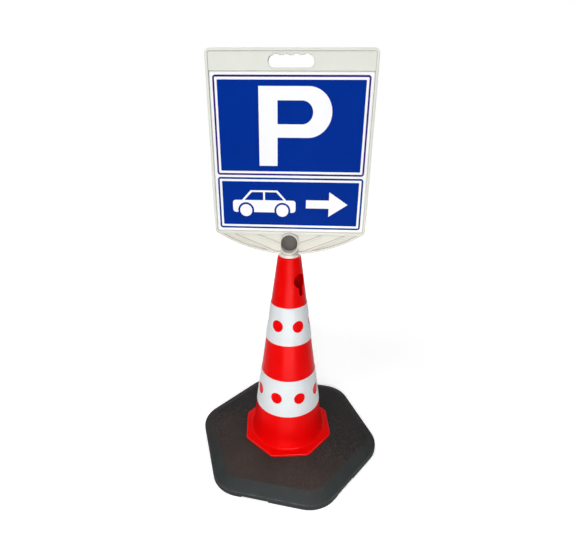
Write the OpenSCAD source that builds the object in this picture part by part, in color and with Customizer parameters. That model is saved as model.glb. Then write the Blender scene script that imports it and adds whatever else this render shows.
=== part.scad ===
// Parking sign on a traffic cone. A moulded board plugs into the tip of a hollow cone, and the
// cone is bolted to a heavy hexagonal rubber base. All sizes are in millimetres. +Z is up, the
// sign faces -Y, and the origin is the centre of the base's underside.

/* [Base] */
// Distance across the flats of the hexagonal base
base_flats = 412; // [370:1:460]
// Plan radius of the base's rounded corners
base_corner_r = 75; // [40:1:95]
// Height of the base's upright edge
base_edge_h = 13; // [9:0.5:18]
// Plan width of the sloping bevel above the upright edge
base_bevel_w = 27; // [15:0.5:36]
// Height that the bevel climbs
base_bevel_h = 14; // [10:0.5:18]
// Rise of the top from the bevel's crease to the flat seat of the cone
base_crown_h = 5; // [2:0.5:8]
// Length of the finger notch under each side of the base
notch_l = 62; // [40:1:70]
// Height of the finger notches
notch_h = 3; // [2:0.5:6]
// Depth of the finger notches, inwards from the edge
notch_d = 25; // [15:1:40]

/* [Cone] */
// Height of the cone's tip above the ground
cone_h = 500; // [470:1:560]
// Outer diameter of the cone at its tip
tip_d = 51.4; // [49:0.2:60]
// Outer diameter of the cone where it meets the flange
foot_d = 178.4; // [165:0.2:184]
// Wall thickness of the cone
cone_wall = 3.2; // [2:0.1:4]
// Angle of the keyhole and of the base's flats, from the sign's right-hand side
cone_turn = -39; // [-180:1:180]
// Width of the octagonal foot flange beyond the cone, at its flats
flange_w = 16.3; // [14:0.1:25]
// Thickness of the foot flange
flange_t = 5; // [4:0.5:8]
// Radius of the fillet between the cone and its flange
flange_fillet_r = 4; // [2:0.5:6]
// Thickness of the cap that closes the tip round the socket
tip_cap_t = 5; // [3:0.5:8]
// Diameter of the keyhole's round part
keyhole_d = 32; // [24:1:34]
// Distance from the bush's lower end down to the keyhole's upper edge
keyhole_gap = 1.7; // [0.5:0.1:15]
// Width of the keyhole's slot
keyhole_slot_w = 11.5; // [8:0.5:16]
// Distance from the middle of the round part to the slot's lower end
keyhole_slot_l = 34.5; // [28:0.5:40]

/* [Reflective sleeves] */
// Thickness of the sleeves
sleeve_t = 0.8; // [0.4:0.1:1.5]
// Play between the sleeves and the cone
sleeve_gap = 0.2; // [0.2:0.05:0.5]
// Red band between the keyhole's slot and the upper sleeve
upper_band_h = 23.5; // [10:0.5:35]
// Height of the upper sleeve
upper_sleeve_h = 88; // [60:1:100]
// Red band between the two sleeves
middle_band_h = 87.5; // [60:0.5:100]
// Height of the lower sleeve
lower_sleeve_h = 91; // [60:1:100]
// Diameter of the round holes in the sleeves
dot_d = 27.5; // [15:0.5:32]
// Number of holes in the upper sleeve
upper_dots = 6; // [4:1:7]
// Number of holes in the lower sleeve
lower_dots = 8; // [6:1:10]
// Turn of the upper holes from the keyhole
upper_dot_turn = -21; // [-30:1:30]
// Turn of the lower holes from the keyhole
lower_dot_turn = -26; // [-30:1:30]

/* [Flange bolts] */
// Number of bolts through the flange
bolt_count = 8; // [4, 8]
// Thread diameter of the bolts
bolt_d = 6; // [4:0.5:8]
// Width across the flats of the bolt heads
bolt_head_w = 10; // [9:0.5:14]
// Height of the bolt heads
bolt_head_h = 4; // [3:0.5:6]
// Outer diameter of the washers
washer_d = 12; // [11:0.5:14]
// Thickness of the washers
washer_t = 1.6; // [1:0.1:2]
// Thickness of the steel ring under the base
ring_t = 2.5; // [1.5:0.5:3]
// Width of the ring outside the bolt circle
ring_margin = 11; // [9:0.5:14]
// Free space between the bolt heads and the ground
head_gap = 3.6; // [1:0.1:5]
// Wall of the threaded inserts
insert_wall = 1; // [0.8:0.1:1.5]
// Length of the threaded inserts
insert_l = 10; // [6:0.5:12]
// Wall of the bosses under the flange
boss_wall = 3.5; // [2.5:0.1:4.5]

/* [Swivel] */
// Diameter of the bush that turns in the tip
bush_d = 35; // [33:0.5:38]
// Width of the bush's collar beyond the bush
collar_rim = 3.8; // [2:0.1:6]
// Height of the bush's collar
collar_h = 6; // [4:0.5:8]
// Length of the socket inside the tip
socket_l = 29; // [20:0.5:40]
// Wall of the socket inside the tip
socket_wall = 2.8; // [2:0.2:4]
// Thickness of the spring clip
clip_t = 2; // [1.5:0.5:2.5]
// Radial width of the spring clip
clip_w = 4.2; // [3:0.2:5]
// Depth of the bush's groove for the clip
clip_groove_d = 1.5; // [1:0.1:2]
// Opening of the spring clip, in degrees
clip_opening = 40; // [20:5:60]
// Side of the square stem under the board
stem_w = 19; // [15:0.2:20.6]
// Running clearance between the pieces that turn or slide
run_gap = 0.3; // [0.2:0.05:0.4]

/* [Sign board] */
// Width of the board
board_w = 316; // [290:1:345]
// Height of the board from the lowest point of its curved edge
board_h = 390; // [370:1:420]
// Radius of the board's curved lower edge
board_arc_r = 284; // [260:1:310]
// Radius of the board's upper corners
board_corner_r = 10; // [7:0.5:20]
// Thickness of the raised rim
rim_t = 14; // [12:0.5:20]
// Width of the raised rim
rim_w = 5.5; // [4:0.5:8]
// Height of the header below the carrying slot's lip
header_foot = 3; // [0.5:0.5:10]
// Thickness of the header
header_t = 11; // [8:0.5:12]
// Thickness of the board behind the films
field_t = 7; // [4:0.5:7.5]
// Height of the rail under the field
rail_h = 6.5; // [5:0.5:10]
// Thickness of the rail under the field
rail_t = 13; // [10:0.5:14]
// Distance from the rail's lower edge down to the hub's upper centre
rail_rise = 14; // [8:0.5:18]
// Thickness of the web in the rib fan
fan_t = 5; // [3:0.5:6]
// Thickness of the fan's ribs
rib_t = 12; // [8:0.5:13]
// Width of the fan's ribs
rib_w = 4.5; // [3:0.5:7]
// Number of ribs on each side of the hub
rib_count = 2; // [1:1:2]
// Distance from the board's middle to where the first rib meets the rail
rib_first_x = 78; // [65:1:85]
// Distance between the ribs along the rail
rib_pitch = 48; // [40:1:55]
// Drop from the hub's upper centre to where the first rib's line crosses the board's middle
rib_aim = 15; // [11:0.5:16]
// Drop between the ribs at the board's middle
rib_aim_pitch = 23; // [16:0.5:24]

/* [Hub] */
// Distance from the hub's upper centre down to the board's lowest point
hub_drop = 30; // [28:0.5:32]
// Outer width of the hub
hub_d = 39; // [35:0.5:42]
// How much taller than wide the hub is
hub_stretch = 5.5; // [0.5:0.5:8]
// Wall of the hub
hub_wall = 2.3; // [1.5:0.1:4]
// Length of the hub, front to back
hub_l = 42; // [38:1:46]
// Thickness of the plug in the middle of the hub
plug_t = 6; // [4:0.5:14]
// Height of the hub's foot, which stands on the bush's collar
hub_foot_h = 3.5; // [2:0.5:6]
// Width of the collar left free round the hub's foot
hub_foot_inset = 1.9; // [0.5:0.1:3]

/* [Carrying slot] */
// Width of the carrying slot
slot_w = 84; // [75:1:110]
// Height of the carrying slot below its finger hollows
slot_h = 21.1; // [18:0.1:30]
// Distance from the board's top down to the straight upper edge of the slot
slot_drop = 10.8; // [10:0.1:20]
// Radius of the slot's corners
slot_corner_r = 10; // [5:0.5:10]
// Number of finger hollows along the slot's upper edge
finger_count = 4; // [3:1:4]
// Distance from the slot's end to the middle of the first finger hollow
finger_end = 14; // [11:0.5:16]
// Radius of the finger hollows
finger_r = 12.5; // [9:0.5:15]
// Depth of the finger hollows
finger_depth = 1.5; // [1:0.1:2]
// Width of the raised lip round the slot
lip_w = 2.5; // [1.5:0.5:2.5]
// Height of the lip above the header, on each side
lip_h = 1; // [0.5:0.1:1.4]

/* [Films] */
// Thickness of the white films
film_t = 0.4; // [0.2:0.1:0.8]
// Thickness of the blue films
print_t = 0.3; // [0.2:0.1:0.6]
// Free border round the white films
film_margin = 1.5; // [1:0.5:5]
// Radius of the white films' corners
film_corner_r = 3; // [2:0.5:12]
// Free border round the blue panels
panel_margin = 4.5; // [3:0.5:8]
// Gap between the two blue panels
panel_gap = 4.5; // [3:0.5:8]
// Height of the lower blue panel, over its border line
low_panel_h = 105; // [95:1:112]
// Outer radius of the border lines' corners
panel_corner_r = 5.5; // [4.5:0.5:14]
// Radius of the blue fields' corners
field_corner_r = 1.5; // [1:0.5:6]
// Width of the border lines
line_w = 3.5; // [2:0.5:4]
// White gap inside the border lines
line_gap = 4.5; // [2:0.5:5]
// Blue field left free above and below the parking letter
letter_margin = 10.5; // [6:0.5:20]
// Width of the parking letter, as a share of its height
letter_w_share = 0.97; // [0.9:0.01:1.1]
// Width of the letter's stem and of its bowl at the side, as a share of its height
letter_stem_share = 0.25; // [0.18:0.01:0.3]
// Width of the letter's bars at the top and under the bowl, as a share of its height
letter_bar_share = 0.17; // [0.12:0.01:0.2]
// Height of the letter's bowl, as a share of its height
letter_bowl_share = 0.63; // [0.55:0.01:0.7]
// Shift of the letter to the right of the panel's middle, as a share of its height
letter_shift_share = 0.06; // [0:0.01:0.1]
// Blue field left free at each end of the car and the arrow
pictogram_margin = 20.5; // [12:0.5:30]
// Length of the car, as a share of the car and arrow together
car_share = 0.55; // [0.45:0.01:0.6]
// Length of the arrow, as a share of the car and arrow together
arrow_share = 0.36; // [0.28:0.01:0.37]
// Height of the car's body above its wheels' axles, as a share of its length
car_body_share = 0.165; // [0.13:0.005:0.19]
// Height of the car's cabin above its body, as a share of its length
car_cabin_share = 0.155; // [0.12:0.005:0.18]
// Diameter of the car's wheels, as a share of its length
car_wheel_share = 0.195; // [0.16:0.005:0.21]
// Width of the pillars round the car's windows, as a share of its length
car_line_share = 0.03; // [0.02:0.005:0.04]
// Height of the arrow's head, as a share of its length
arrow_head_share = 0.6; // [0.45:0.01:0.7]
// Width of the arrow's shaft, as a share of its length
arrow_shaft_share = 0.2; // [0.14:0.01:0.26]

/* [Hidden] */

$fn = 96;
// Gap that keeps two pieces of one body from sharing a curved face
skin_gap = 0.05;
// How far a cut or a joined shape runs past the face that it meets
over = 1;
// Clear height of a layer in the hull of the base
layer_h = 0.01;
// Number of straight steps in a full circle of the base's corners
corner_fn = 72;
// Flat seat of the base beyond the flange's corners, and the radius of the seat's own corners
seat_margin = 4;
seat_corner_r = 8;
// Angle from a flat to a corner of the octagon and of the hexagon
octagon_half = 22.5;
hexagon_half = 30;

// Heights of the base
crease_z = base_edge_h + base_bevel_h;
seat_z = crease_z + base_crown_h;
flange_top_z = seat_z + flange_t;
recess_z = head_gap + bolt_head_h + washer_t + ring_t;

// Radii of the cone
tip_r = tip_d / 2;
foot_r = foot_d / 2;
cone_slope = (foot_r - tip_r) / (cone_h - flange_top_z);
function cone_r(z) = tip_r + cone_slope * (cone_h - z);
hollow_foot_r = cone_r(seat_z) - cone_wall;
socket_r = bush_d / 2 + run_gap;
socket_end_z = cone_h - socket_l;

// The flange is an octagon with a flat towards the keyhole
octagon_corner_r = (foot_r + flange_w) / cos(octagon_half);
bolt_circle_r = (foot_r + flange_fillet_r + octagon_corner_r) / 2;
ring_r = bolt_circle_r + ring_margin;
recess_r = ring_r + over;
bolt_hole_r = bolt_d / 2 + run_gap;
insert_d = bolt_d + 2 * insert_wall;
boss_d = insert_d + 2 * boss_wall;
boss_h = insert_l + 2 * over;
boss_z = seat_z - boss_h;
bolt_end_z = boss_z + insert_l + over;

// The base is a hexagon with a flat towards the keyhole
base_apothem = base_flats / 2;
seat_apothem = octagon_corner_r + seat_margin;
base_hole_r = hollow_foot_r;

// Heights of the bush and its clip
clip_z = socket_end_z - run_gap - clip_t;
bush_end_z = clip_z - clip_t;
collar_top_z = cone_h + collar_h;
collar_d = bush_d + 2 * collar_rim;
clip_r = bush_d / 2 - clip_groove_d;

// Heights of the keyhole and the sleeves, one below the other
keyhole_z = bush_end_z - keyhole_gap - keyhole_d / 2;
upper_sleeve_z = keyhole_z - keyhole_slot_l - upper_band_h - upper_sleeve_h;
lower_sleeve_z = upper_sleeve_z - middle_band_h - lower_sleeve_h;

// Heights of the board
hub_low_z = collar_top_z + hub_foot_h + hub_d / 2;
hub_z = hub_low_z + hub_stretch;
board_low_z = hub_z - hub_drop;
board_top_z = board_low_z + board_h;
arc_centre_z = board_low_z + board_arc_r;
header_z = board_top_z - slot_drop - slot_h - lip_w - header_foot;
rail_z = hub_z + rail_rise;
field_z = rail_z + rail_h;
field_w = board_w - 2 * rim_w;

// The films
film_w = field_w - 2 * film_margin;
film_z = field_z + film_margin;
film_h = header_z - film_margin - film_z;
panel_w = film_w - 2 * panel_margin;
low_panel_z = film_z + panel_margin;
top_panel_z = low_panel_z + low_panel_h + panel_gap;
top_panel_h = film_z + film_h - panel_margin - top_panel_z;
line_inset = line_w + line_gap;
letter_h = top_panel_h - 2 * line_inset - 2 * letter_margin;
letter_w = letter_h * letter_w_share;
pictogram_l = panel_w - 2 * line_inset - 2 * pictogram_margin;
car_l = pictogram_l * car_share;
car_body_h = car_l * car_body_share;
car_cabin_h = car_l * car_cabin_share;
car_wheel_d = car_l * car_wheel_share;
arrow_l = pictogram_l * arrow_share;

// A rectangle centred on X that stands on height z, with round corners
module round_rect(w, z, h, r) {
    translate([-w / 2, z + r]) square([w, h - 2 * r]);
    translate([-w / 2 + r, z]) square([w - 2 * r, h]);
    for (x = [-1, 1], top = [0, 1])
        translate([x * (w / 2 - r), top ? z + h - r : z + r]) circle(r);
}

// A flat shape drawn in the board's plane, X across and Y up, made a plate of thickness t
module plate(t) {
    rotate([90, 0, 0]) linear_extrude(height = t, center = true) children();
}

// A shape repeated on a circle
module around(count, r, turn = 0) {
    for (i = [0:count - 1])
        rotate(turn + i * 360 / count) translate([r, 0, 0]) children();
}

// The bolts stand at the corners of the octagon
module at_bolts() {
    around(bolt_count, bolt_circle_r, octagon_half) children();
}

// Heavy rubber slab: upright edge, sloping bevel, slightly crowned top
module base_slab() {
    corner_x = (base_apothem - base_corner_r) / cos(hexagon_half);
    crease_corner_r = base_corner_r - base_bevel_w;
    hull() {
        around(6, corner_x, hexagon_half) {
            cylinder(h = base_edge_h, r = base_corner_r, $fn = corner_fn);
            translate([0, 0, base_edge_h])
                cylinder(h = base_bevel_h, r1 = base_corner_r, r2 = crease_corner_r, $fn = corner_fn);
        }
        around(6, (seat_apothem - seat_corner_r) / cos(hexagon_half), hexagon_half)
            translate([0, 0, seat_z - layer_h]) cylinder(h = layer_h, r = seat_corner_r, $fn = corner_fn);
    }
}

module base() {
    color([0.2, 0.18, 0.17]) rotate(cone_turn) difference() {
        base_slab();
        translate([0, 0, -over]) cylinder(h = seat_z + 2 * over, r = base_hole_r);
        translate([0, 0, -over]) cylinder(h = recess_z + over, r = recess_r);
        at_bolts() {
            cylinder(h = seat_z, r = bolt_hole_r);
            translate([0, 0, boss_z - run_gap]) cylinder(h = boss_h + over, r = boss_d / 2 + run_gap);
        }
        around(6, base_apothem - notch_d)
            translate([0, -notch_l, -over]) cube([notch_d + over, notch_l, notch_h + over]);
    }
}

// Profile of the cone's wall, cap, socket and foot fillet, for turning round Z
module cone_profile() {
    polygon([
        [tip_r - cone_wall, cone_h], [tip_r, cone_h], [cone_r(seat_z), seat_z], [hollow_foot_r, seat_z]
    ]);
    translate([socket_r, cone_h - tip_cap_t]) square([tip_r - socket_r, tip_cap_t]);
    translate([socket_r, socket_end_z]) square([socket_wall, socket_l]);
    difference() {
        translate([foot_r - over, flange_top_z - over]) square(flange_fillet_r + over);
        translate([foot_r + flange_fillet_r, flange_top_z + flange_fillet_r]) circle(flange_fillet_r);
    }
}

// Round hole with a slot below it, cut along X through both sides of the cone
module keyhole() {
    reach = 2 * foot_r;
    slot_r = keyhole_slot_w / 2;
    translate([0, 0, keyhole_z]) rotate([90, 0, 90])
        linear_extrude(height = reach, center = true) {
            circle(d = keyhole_d);
            translate([-slot_r, -keyhole_slot_l + slot_r]) square([keyhole_slot_w, keyhole_slot_l - slot_r]);
            translate([0, -keyhole_slot_l + slot_r]) circle(slot_r);
        }
}

module cone() {
    color([0.9, 0.03, 0.03]) rotate(cone_turn) difference() {
        union() {
            rotate_extrude() cone_profile();
            difference() {
                translate([0, 0, seat_z]) rotate(octagon_half)
                    cylinder(h = flange_t, r = octagon_corner_r, $fn = 8);
                translate([0, 0, seat_z - over]) cylinder(h = flange_t + 2 * over, r = cone_r(seat_z) - over);
            }
            at_bolts() translate([0, 0, boss_z]) cylinder(h = boss_h + over, d = boss_d);
        }
        keyhole();
        at_bolts() translate([0, 0, boss_z - over]) {
            cylinder(h = insert_l + over, d = insert_d + 2 * skin_gap);
            cylinder(h = boss_h + over, r = bolt_hole_r);
        }
    }
}

// Thin conical sleeve on the cone from height z, with a row of round holes
module sleeve(z, h, count, turn) {
    low_r = cone_r(z) + sleeve_gap;
    high_r = cone_r(z + h) + sleeve_gap;
    color([0.88, 0.89, 0.9]) rotate(cone_turn) difference() {
        rotate_extrude()
            polygon([[low_r, z], [low_r + sleeve_t, z], [high_r + sleeve_t, z + h], [high_r, z + h]]);
        around(count, 0, turn)
            translate([0, 0, z + h / 2]) rotate([0, 90, 0]) cylinder(h = foot_d, d = dot_d);
    }
}

module upper_sleeve() {
    sleeve(upper_sleeve_z, upper_sleeve_h, upper_dots, upper_dot_turn);
}

module lower_sleeve() {
    sleeve(lower_sleeve_z, lower_sleeve_h, lower_dots, lower_dot_turn);
}

// Steel ring in the recess under the base, which spreads the pull of the bolts
module backing_ring() {
    color([0.72, 0.73, 0.74]) rotate(cone_turn) difference() {
        translate([0, 0, recess_z - ring_t]) cylinder(h = ring_t, r = ring_r);
        translate([0, 0, recess_z - ring_t - over]) cylinder(h = ring_t + 2 * over, r = base_hole_r + over);
        at_bolts() cylinder(h = seat_z, r = bolt_hole_r);
    }
}

module flange_bolts() {
    head_z = head_gap + bolt_head_h;
    head_r = bolt_head_w / 2 / cos(hexagon_half);
    color([0.62, 0.63, 0.65]) rotate(cone_turn) at_bolts() translate([0, 0, head_z]) {
        cylinder(h = bolt_end_z - head_z, d = bolt_d);
        translate([0, 0, -bolt_head_h]) cylinder(h = bolt_head_h, r = head_r, $fn = 6);
    }
}

module bolt_washers() {
    color([0.7, 0.7, 0.72]) rotate(cone_turn) at_bolts() translate([0, 0, recess_z - ring_t - washer_t])
        difference() {
            cylinder(h = washer_t, d = washer_d);
            translate([0, 0, -over]) cylinder(h = washer_t + 2 * over, r = bolt_hole_r);
        }
}

module flange_inserts() {
    color([0.8, 0.65, 0.3]) rotate(cone_turn) at_bolts() translate([0, 0, boss_z])
        difference() {
            cylinder(h = insert_l, d = insert_d);
            translate([0, 0, -over]) cylinder(h = insert_l + 2 * over, d = bolt_d + 2 * skin_gap);
        }
}

// Collared bush that turns in the tip and holds the square stem of the board
module swivel_bush() {
    bore_w = stem_w + 2 * run_gap;
    color([0.93, 0.92, 0.89]) difference() {
        union() {
            translate([0, 0, cone_h]) cylinder(h = collar_h, d = collar_d);
            translate([0, 0, bush_end_z]) cylinder(h = cone_h - bush_end_z + over, d = bush_d);
        }
        translate([-bore_w / 2, -bore_w / 2, bush_end_z - over])
            cube([bore_w, bore_w, collar_top_z - bush_end_z + 2 * over]);
        translate([0, 0, clip_z - skin_gap]) difference() {
            cylinder(h = clip_t + 2 * skin_gap, d = bush_d + 2 * over);
            translate([0, 0, -over]) cylinder(h = clip_t + 2 * over, r = clip_r - skin_gap);
        }
    }
}

module bush_clip() {
    color([0.5, 0.51, 0.53]) translate([0, 0, clip_z]) rotate(clip_opening / 2)
        rotate_extrude(angle = 360 - clip_opening) translate([clip_r, 0]) square([clip_w, clip_t]);
}

// Outline of the board, drawn in by inset: straight sides, round upper corners, curved lower edge
module board_outline(inset) {
    w = board_w - 2 * inset;
    r = board_corner_r - inset;
    intersection() {
        translate([0, arc_centre_z]) circle(board_arc_r - inset, $fn = 180);
        round_rect(w, board_low_z - board_h, 2 * board_h - inset, r);
    }
}

// The part of the board's outline between two heights, tucked into the rim
module board_zone(low, high) {
    intersection() {
        board_outline(rim_w / 2);
        translate([-board_w, low]) square([2 * board_w, high - low]);
    }
}

// Carrying slot with round ends and finger hollows along its upper edge, larger all round by extra
module slot_outline(extra) {
    top_z = board_top_z - slot_drop;
    end_r = min(slot_corner_r, slot_h / 2 - skin_gap);
    first_x = finger_end - slot_w / 2;
    pitch = -2 * first_x / (finger_count - 1);
    round_rect(slot_w + 2 * extra, top_z - slot_h - extra, slot_h + 2 * extra, end_r + extra);
    for (i = [0:finger_count - 1])
        translate([first_x + i * pitch, top_z + finger_depth - finger_r]) circle(finger_r + extra);
}

// Ribs from the rail to the hub, on both sides
module rib_lines() {
    for (i = [0:rib_count - 1]) {
        drop = rib_aim + i * rib_aim_pitch;
        rise = rail_rise + drop;
        run = rib_first_x + i * rib_pitch;
        for (side = [0, 1])
            mirror([side, 0]) translate([0, hub_z - drop]) rotate(atan2(rise, run))
                translate([0, -rib_w / 2]) square([norm([rise, run]), rib_w]);
    }
}

// Tall outline of the hub, drawn in by inset: two half circles and the straight sides between them
module hub_outline(inset) {
    r = hub_d / 2 - inset;
    for (z = [hub_low_z, hub_z])
        translate([0, z]) circle(r);
    translate([-r, hub_low_z]) square([2 * r, hub_stretch]);
}

// Square stem below the hub, which slides in the bush
module stem() {
    stem_z = bush_end_z + over;
    translate([-stem_w / 2, -stem_w / 2, stem_z]) cube([stem_w, stem_w, collar_top_z - stem_z + over]);
}

module sign_board() {
    color([0.9, 0.9, 0.86]) difference() {
        union() {
            difference() {
                union() {
                    plate(rim_t) difference() {
                        board_outline(0);
                        board_outline(rim_w);
                    }
                    plate(header_t) board_zone(header_z, board_top_z);
                    plate(field_t) board_zone(rail_z, header_z + over);
                    plate(rail_t) board_zone(rail_z, field_z);
                    plate(fan_t) board_zone(board_low_z, rail_z + over);
                    plate(rib_t) intersection() {
                        board_zone(board_low_z, rail_z + over);
                        rib_lines();
                    }
                    plate(header_t + 2 * lip_h) slot_outline(lip_w);
                }
                translate([0, 0, board_low_z - over])
                    cylinder(h = collar_top_z - board_low_z + over, d = collar_d + 2 * over);
            }
            plate(hub_l) hub_outline(0);
            translate([0, 0, collar_top_z])
                cylinder(h = hub_low_z - collar_top_z, d = collar_d - 2 * hub_foot_inset);
            stem();
        }
        plate(2 * hub_l) hub_outline(hub_wall);
        plate(2 * rim_t) slot_outline(0);
    }
}

module hub_plug() {
    color([0.39, 0.36, 0.34]) plate(plug_t) hub_outline(hub_wall + skin_gap);
}

module white_film() {
    color([0.97, 0.97, 0.98]) translate([0, -(field_t + film_t) / 2, 0])
        plate(film_t) round_rect(film_w, film_z, film_h, film_corner_r);
}

// Border line of a blue panel with its field inside
module panel(z, h) {
    difference() {
        round_rect(panel_w, z, h, panel_corner_r);
        round_rect(panel_w - 2 * line_w, z + line_w, h - 2 * line_w, panel_corner_r - line_w);
    }
    difference() {
        round_rect(panel_w - 2 * line_inset, z + line_inset, h - 2 * line_inset, field_corner_r);
        children();
    }
}

// Block letter for parking, from straight bars and half circles, standing on its lower left corner
module parking_letter() {
    stem_w = letter_h * letter_stem_share;
    bar_w = letter_h * letter_bar_share;
    bowl_h = letter_h * letter_bowl_share;
    bowl_z = letter_h - bowl_h;
    bowl_r = bowl_h / 2;
    counter_r = bowl_r - bar_w;
    bowl_x = letter_w - bowl_r;
    counter_x = letter_w - stem_w - counter_r;
    square([stem_w, letter_h]);
    difference() {
        union() {
            translate([0, bowl_z]) square([bowl_x, bowl_h]);
            translate([bowl_x, bowl_z + bowl_r]) circle(bowl_r);
        }
        translate([stem_w, bowl_z + bar_w]) square([counter_x - stem_w, 2 * counter_r]);
        translate([counter_x, bowl_z + bowl_r]) circle(counter_r);
    }
}

// Plain car seen from its side, standing on its axles' height, centred on its length
module car() {
    car_line = car_l * car_line_share;
    axle_x = car_l * 0.29;
    cabin_low = car_l * 0.36;
    cabin_high = car_l * 0.21;
    wheel_gap_r = car_wheel_d / 2 + car_line;
    window_h = car_cabin_h - car_line;
    lean = (cabin_low - cabin_high) / car_cabin_h;
    window_low = cabin_low - car_line * 1.6;
    window_high = window_low - lean * window_h;
    difference() {
        union() {
            round_rect(car_l, -car_line, car_body_h + car_line, car_line * 1.6);
            polygon([
                [-cabin_low, car_body_h - over], [cabin_low, car_body_h - over],
                [cabin_high, car_body_h + car_cabin_h], [-cabin_high, car_body_h + car_cabin_h]
            ]);
        }
        for (side = [-1, 1]) {
            translate([side * axle_x, 0]) circle(wheel_gap_r);
            polygon([
                [side * car_line / 2, car_body_h], [side * window_low, car_body_h],
                [side * window_high, car_body_h + window_h], [side * car_line / 2, car_body_h + window_h]
            ]);
        }
    }
    for (side = [-1, 1])
        translate([side * axle_x, 0]) circle(d = car_wheel_d);
}

// Arrow to the right, centred on its length
module arrow() {
    head_h = arrow_l * arrow_head_share;
    head_l = head_h * 0.75;
    shaft_w = arrow_l * arrow_shaft_share;
    translate([-arrow_l / 2, -shaft_w / 2]) square([arrow_l - head_l + over, shaft_w]);
    polygon([
        [arrow_l / 2 - head_l, -head_h / 2], [arrow_l / 2, 0], [arrow_l / 2 - head_l, head_h / 2]
    ]);
}

module blue_print() {
    letter_x = letter_h * letter_shift_share - letter_w / 2;
    car_h = car_body_h + car_cabin_h + car_wheel_d / 2;
    low_mid_z = low_panel_z + low_panel_h / 2;
    color([0.01, 0.19, 0.58]) translate([0, -(field_t + print_t) / 2 - film_t, 0]) plate(print_t) {
        panel(top_panel_z, top_panel_h)
            translate([letter_x, top_panel_z + line_inset + letter_margin]) parking_letter();
        panel(low_panel_z, low_panel_h) {
            translate([(car_l - pictogram_l) / 2, low_mid_z - car_h / 2 + car_wheel_d / 2]) car();
            translate([(pictogram_l - arrow_l) / 2, low_mid_z]) arrow();
        }
    }
}

module front_film() {
    white_film();
}

module front_print() {
    blue_print();
}

module back_film() {
    rotate(180) white_film();
}

module back_print() {
    rotate(180) blue_print();
}

base();
cone();
upper_sleeve();
lower_sleeve();
backing_ring();
flange_bolts();
bolt_washers();
flange_inserts();
swivel_bush();
bush_clip();
sign_board();
hub_plug();
front_film();
front_print();
back_film();
back_print();
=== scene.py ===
"""Looks of a parking sign on a traffic cone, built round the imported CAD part.

The base, the cone, its sleeves, the bush, the board, the hub's plug and the bolts are surfaces worked
out with numpy. The flat films and the hidden hardware keep their CAD solids and get a finish. Everything
is in metres, in the frame of the part: +Z up, the sign faces -Y, and the origin is the centre of the
base's underside.
"""

import logging
from collections.abc import Callable, Sequence
from dataclasses import dataclass
from enum import Enum
from typing import Protocol

import bmesh
import bpy
import numpy as np
from mathutils import Matrix, Vector


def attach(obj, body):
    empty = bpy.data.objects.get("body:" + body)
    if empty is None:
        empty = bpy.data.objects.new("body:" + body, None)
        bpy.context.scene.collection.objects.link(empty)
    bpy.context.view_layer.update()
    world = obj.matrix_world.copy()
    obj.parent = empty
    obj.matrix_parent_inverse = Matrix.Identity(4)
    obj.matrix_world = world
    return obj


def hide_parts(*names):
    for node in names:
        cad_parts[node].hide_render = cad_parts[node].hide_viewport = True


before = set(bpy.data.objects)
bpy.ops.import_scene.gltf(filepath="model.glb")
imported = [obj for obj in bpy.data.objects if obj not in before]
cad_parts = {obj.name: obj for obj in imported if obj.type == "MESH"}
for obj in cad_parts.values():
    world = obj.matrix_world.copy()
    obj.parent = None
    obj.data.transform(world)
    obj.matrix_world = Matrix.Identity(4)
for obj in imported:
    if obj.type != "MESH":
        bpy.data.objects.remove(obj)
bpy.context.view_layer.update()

MM = 0.001
FULL_TURN = 2 * np.pi
# Columns round every turned piece: a multiple of the octagon's 8 sides and the sleeves' 6 and 8 holes
COLUMNS = 144
# The cone and its base stand turned by this much from the sign's right-hand side
STAND_TURN = np.radians(-39.0)
# Points nearer than this are one point
WELD = 2e-6
# Lengths are kept from zero by this much where they divide
TINY = 1e-12
# Points on a soft corner
CORNER_STEPS = 5
# Edges sharper than this stay sharp
CREASE = np.radians(38.0)

Array = np.ndarray
Colour = tuple[float, float, float]
Place = tuple[float, float, float]
Span = tuple[float, float]
Link = bpy.types.NodeSocket
WHOLE: Span = (0.0, 1.0)
log = logging.getLogger("cone_sign")


class Body(Enum):
    """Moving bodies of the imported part."""

    STAND = "stand"
    SWIVEL = "swivel"
    SIGN = "sign"


class Slot(Enum):
    """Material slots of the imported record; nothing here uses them."""

    RUBBER = "base_rubber"
    RED = "cone_red"
    SLEEVE = "sleeve_white"
    ZINC = "zinc_steel"
    BUSH = "bush_white"
    BOARD = "board_white"
    PLUG = "plug_grey"


class Finish(Protocol):
    """Anything that makes a material."""

    def made(self) -> bpy.types.Material:
        """Builds the material."""


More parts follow.
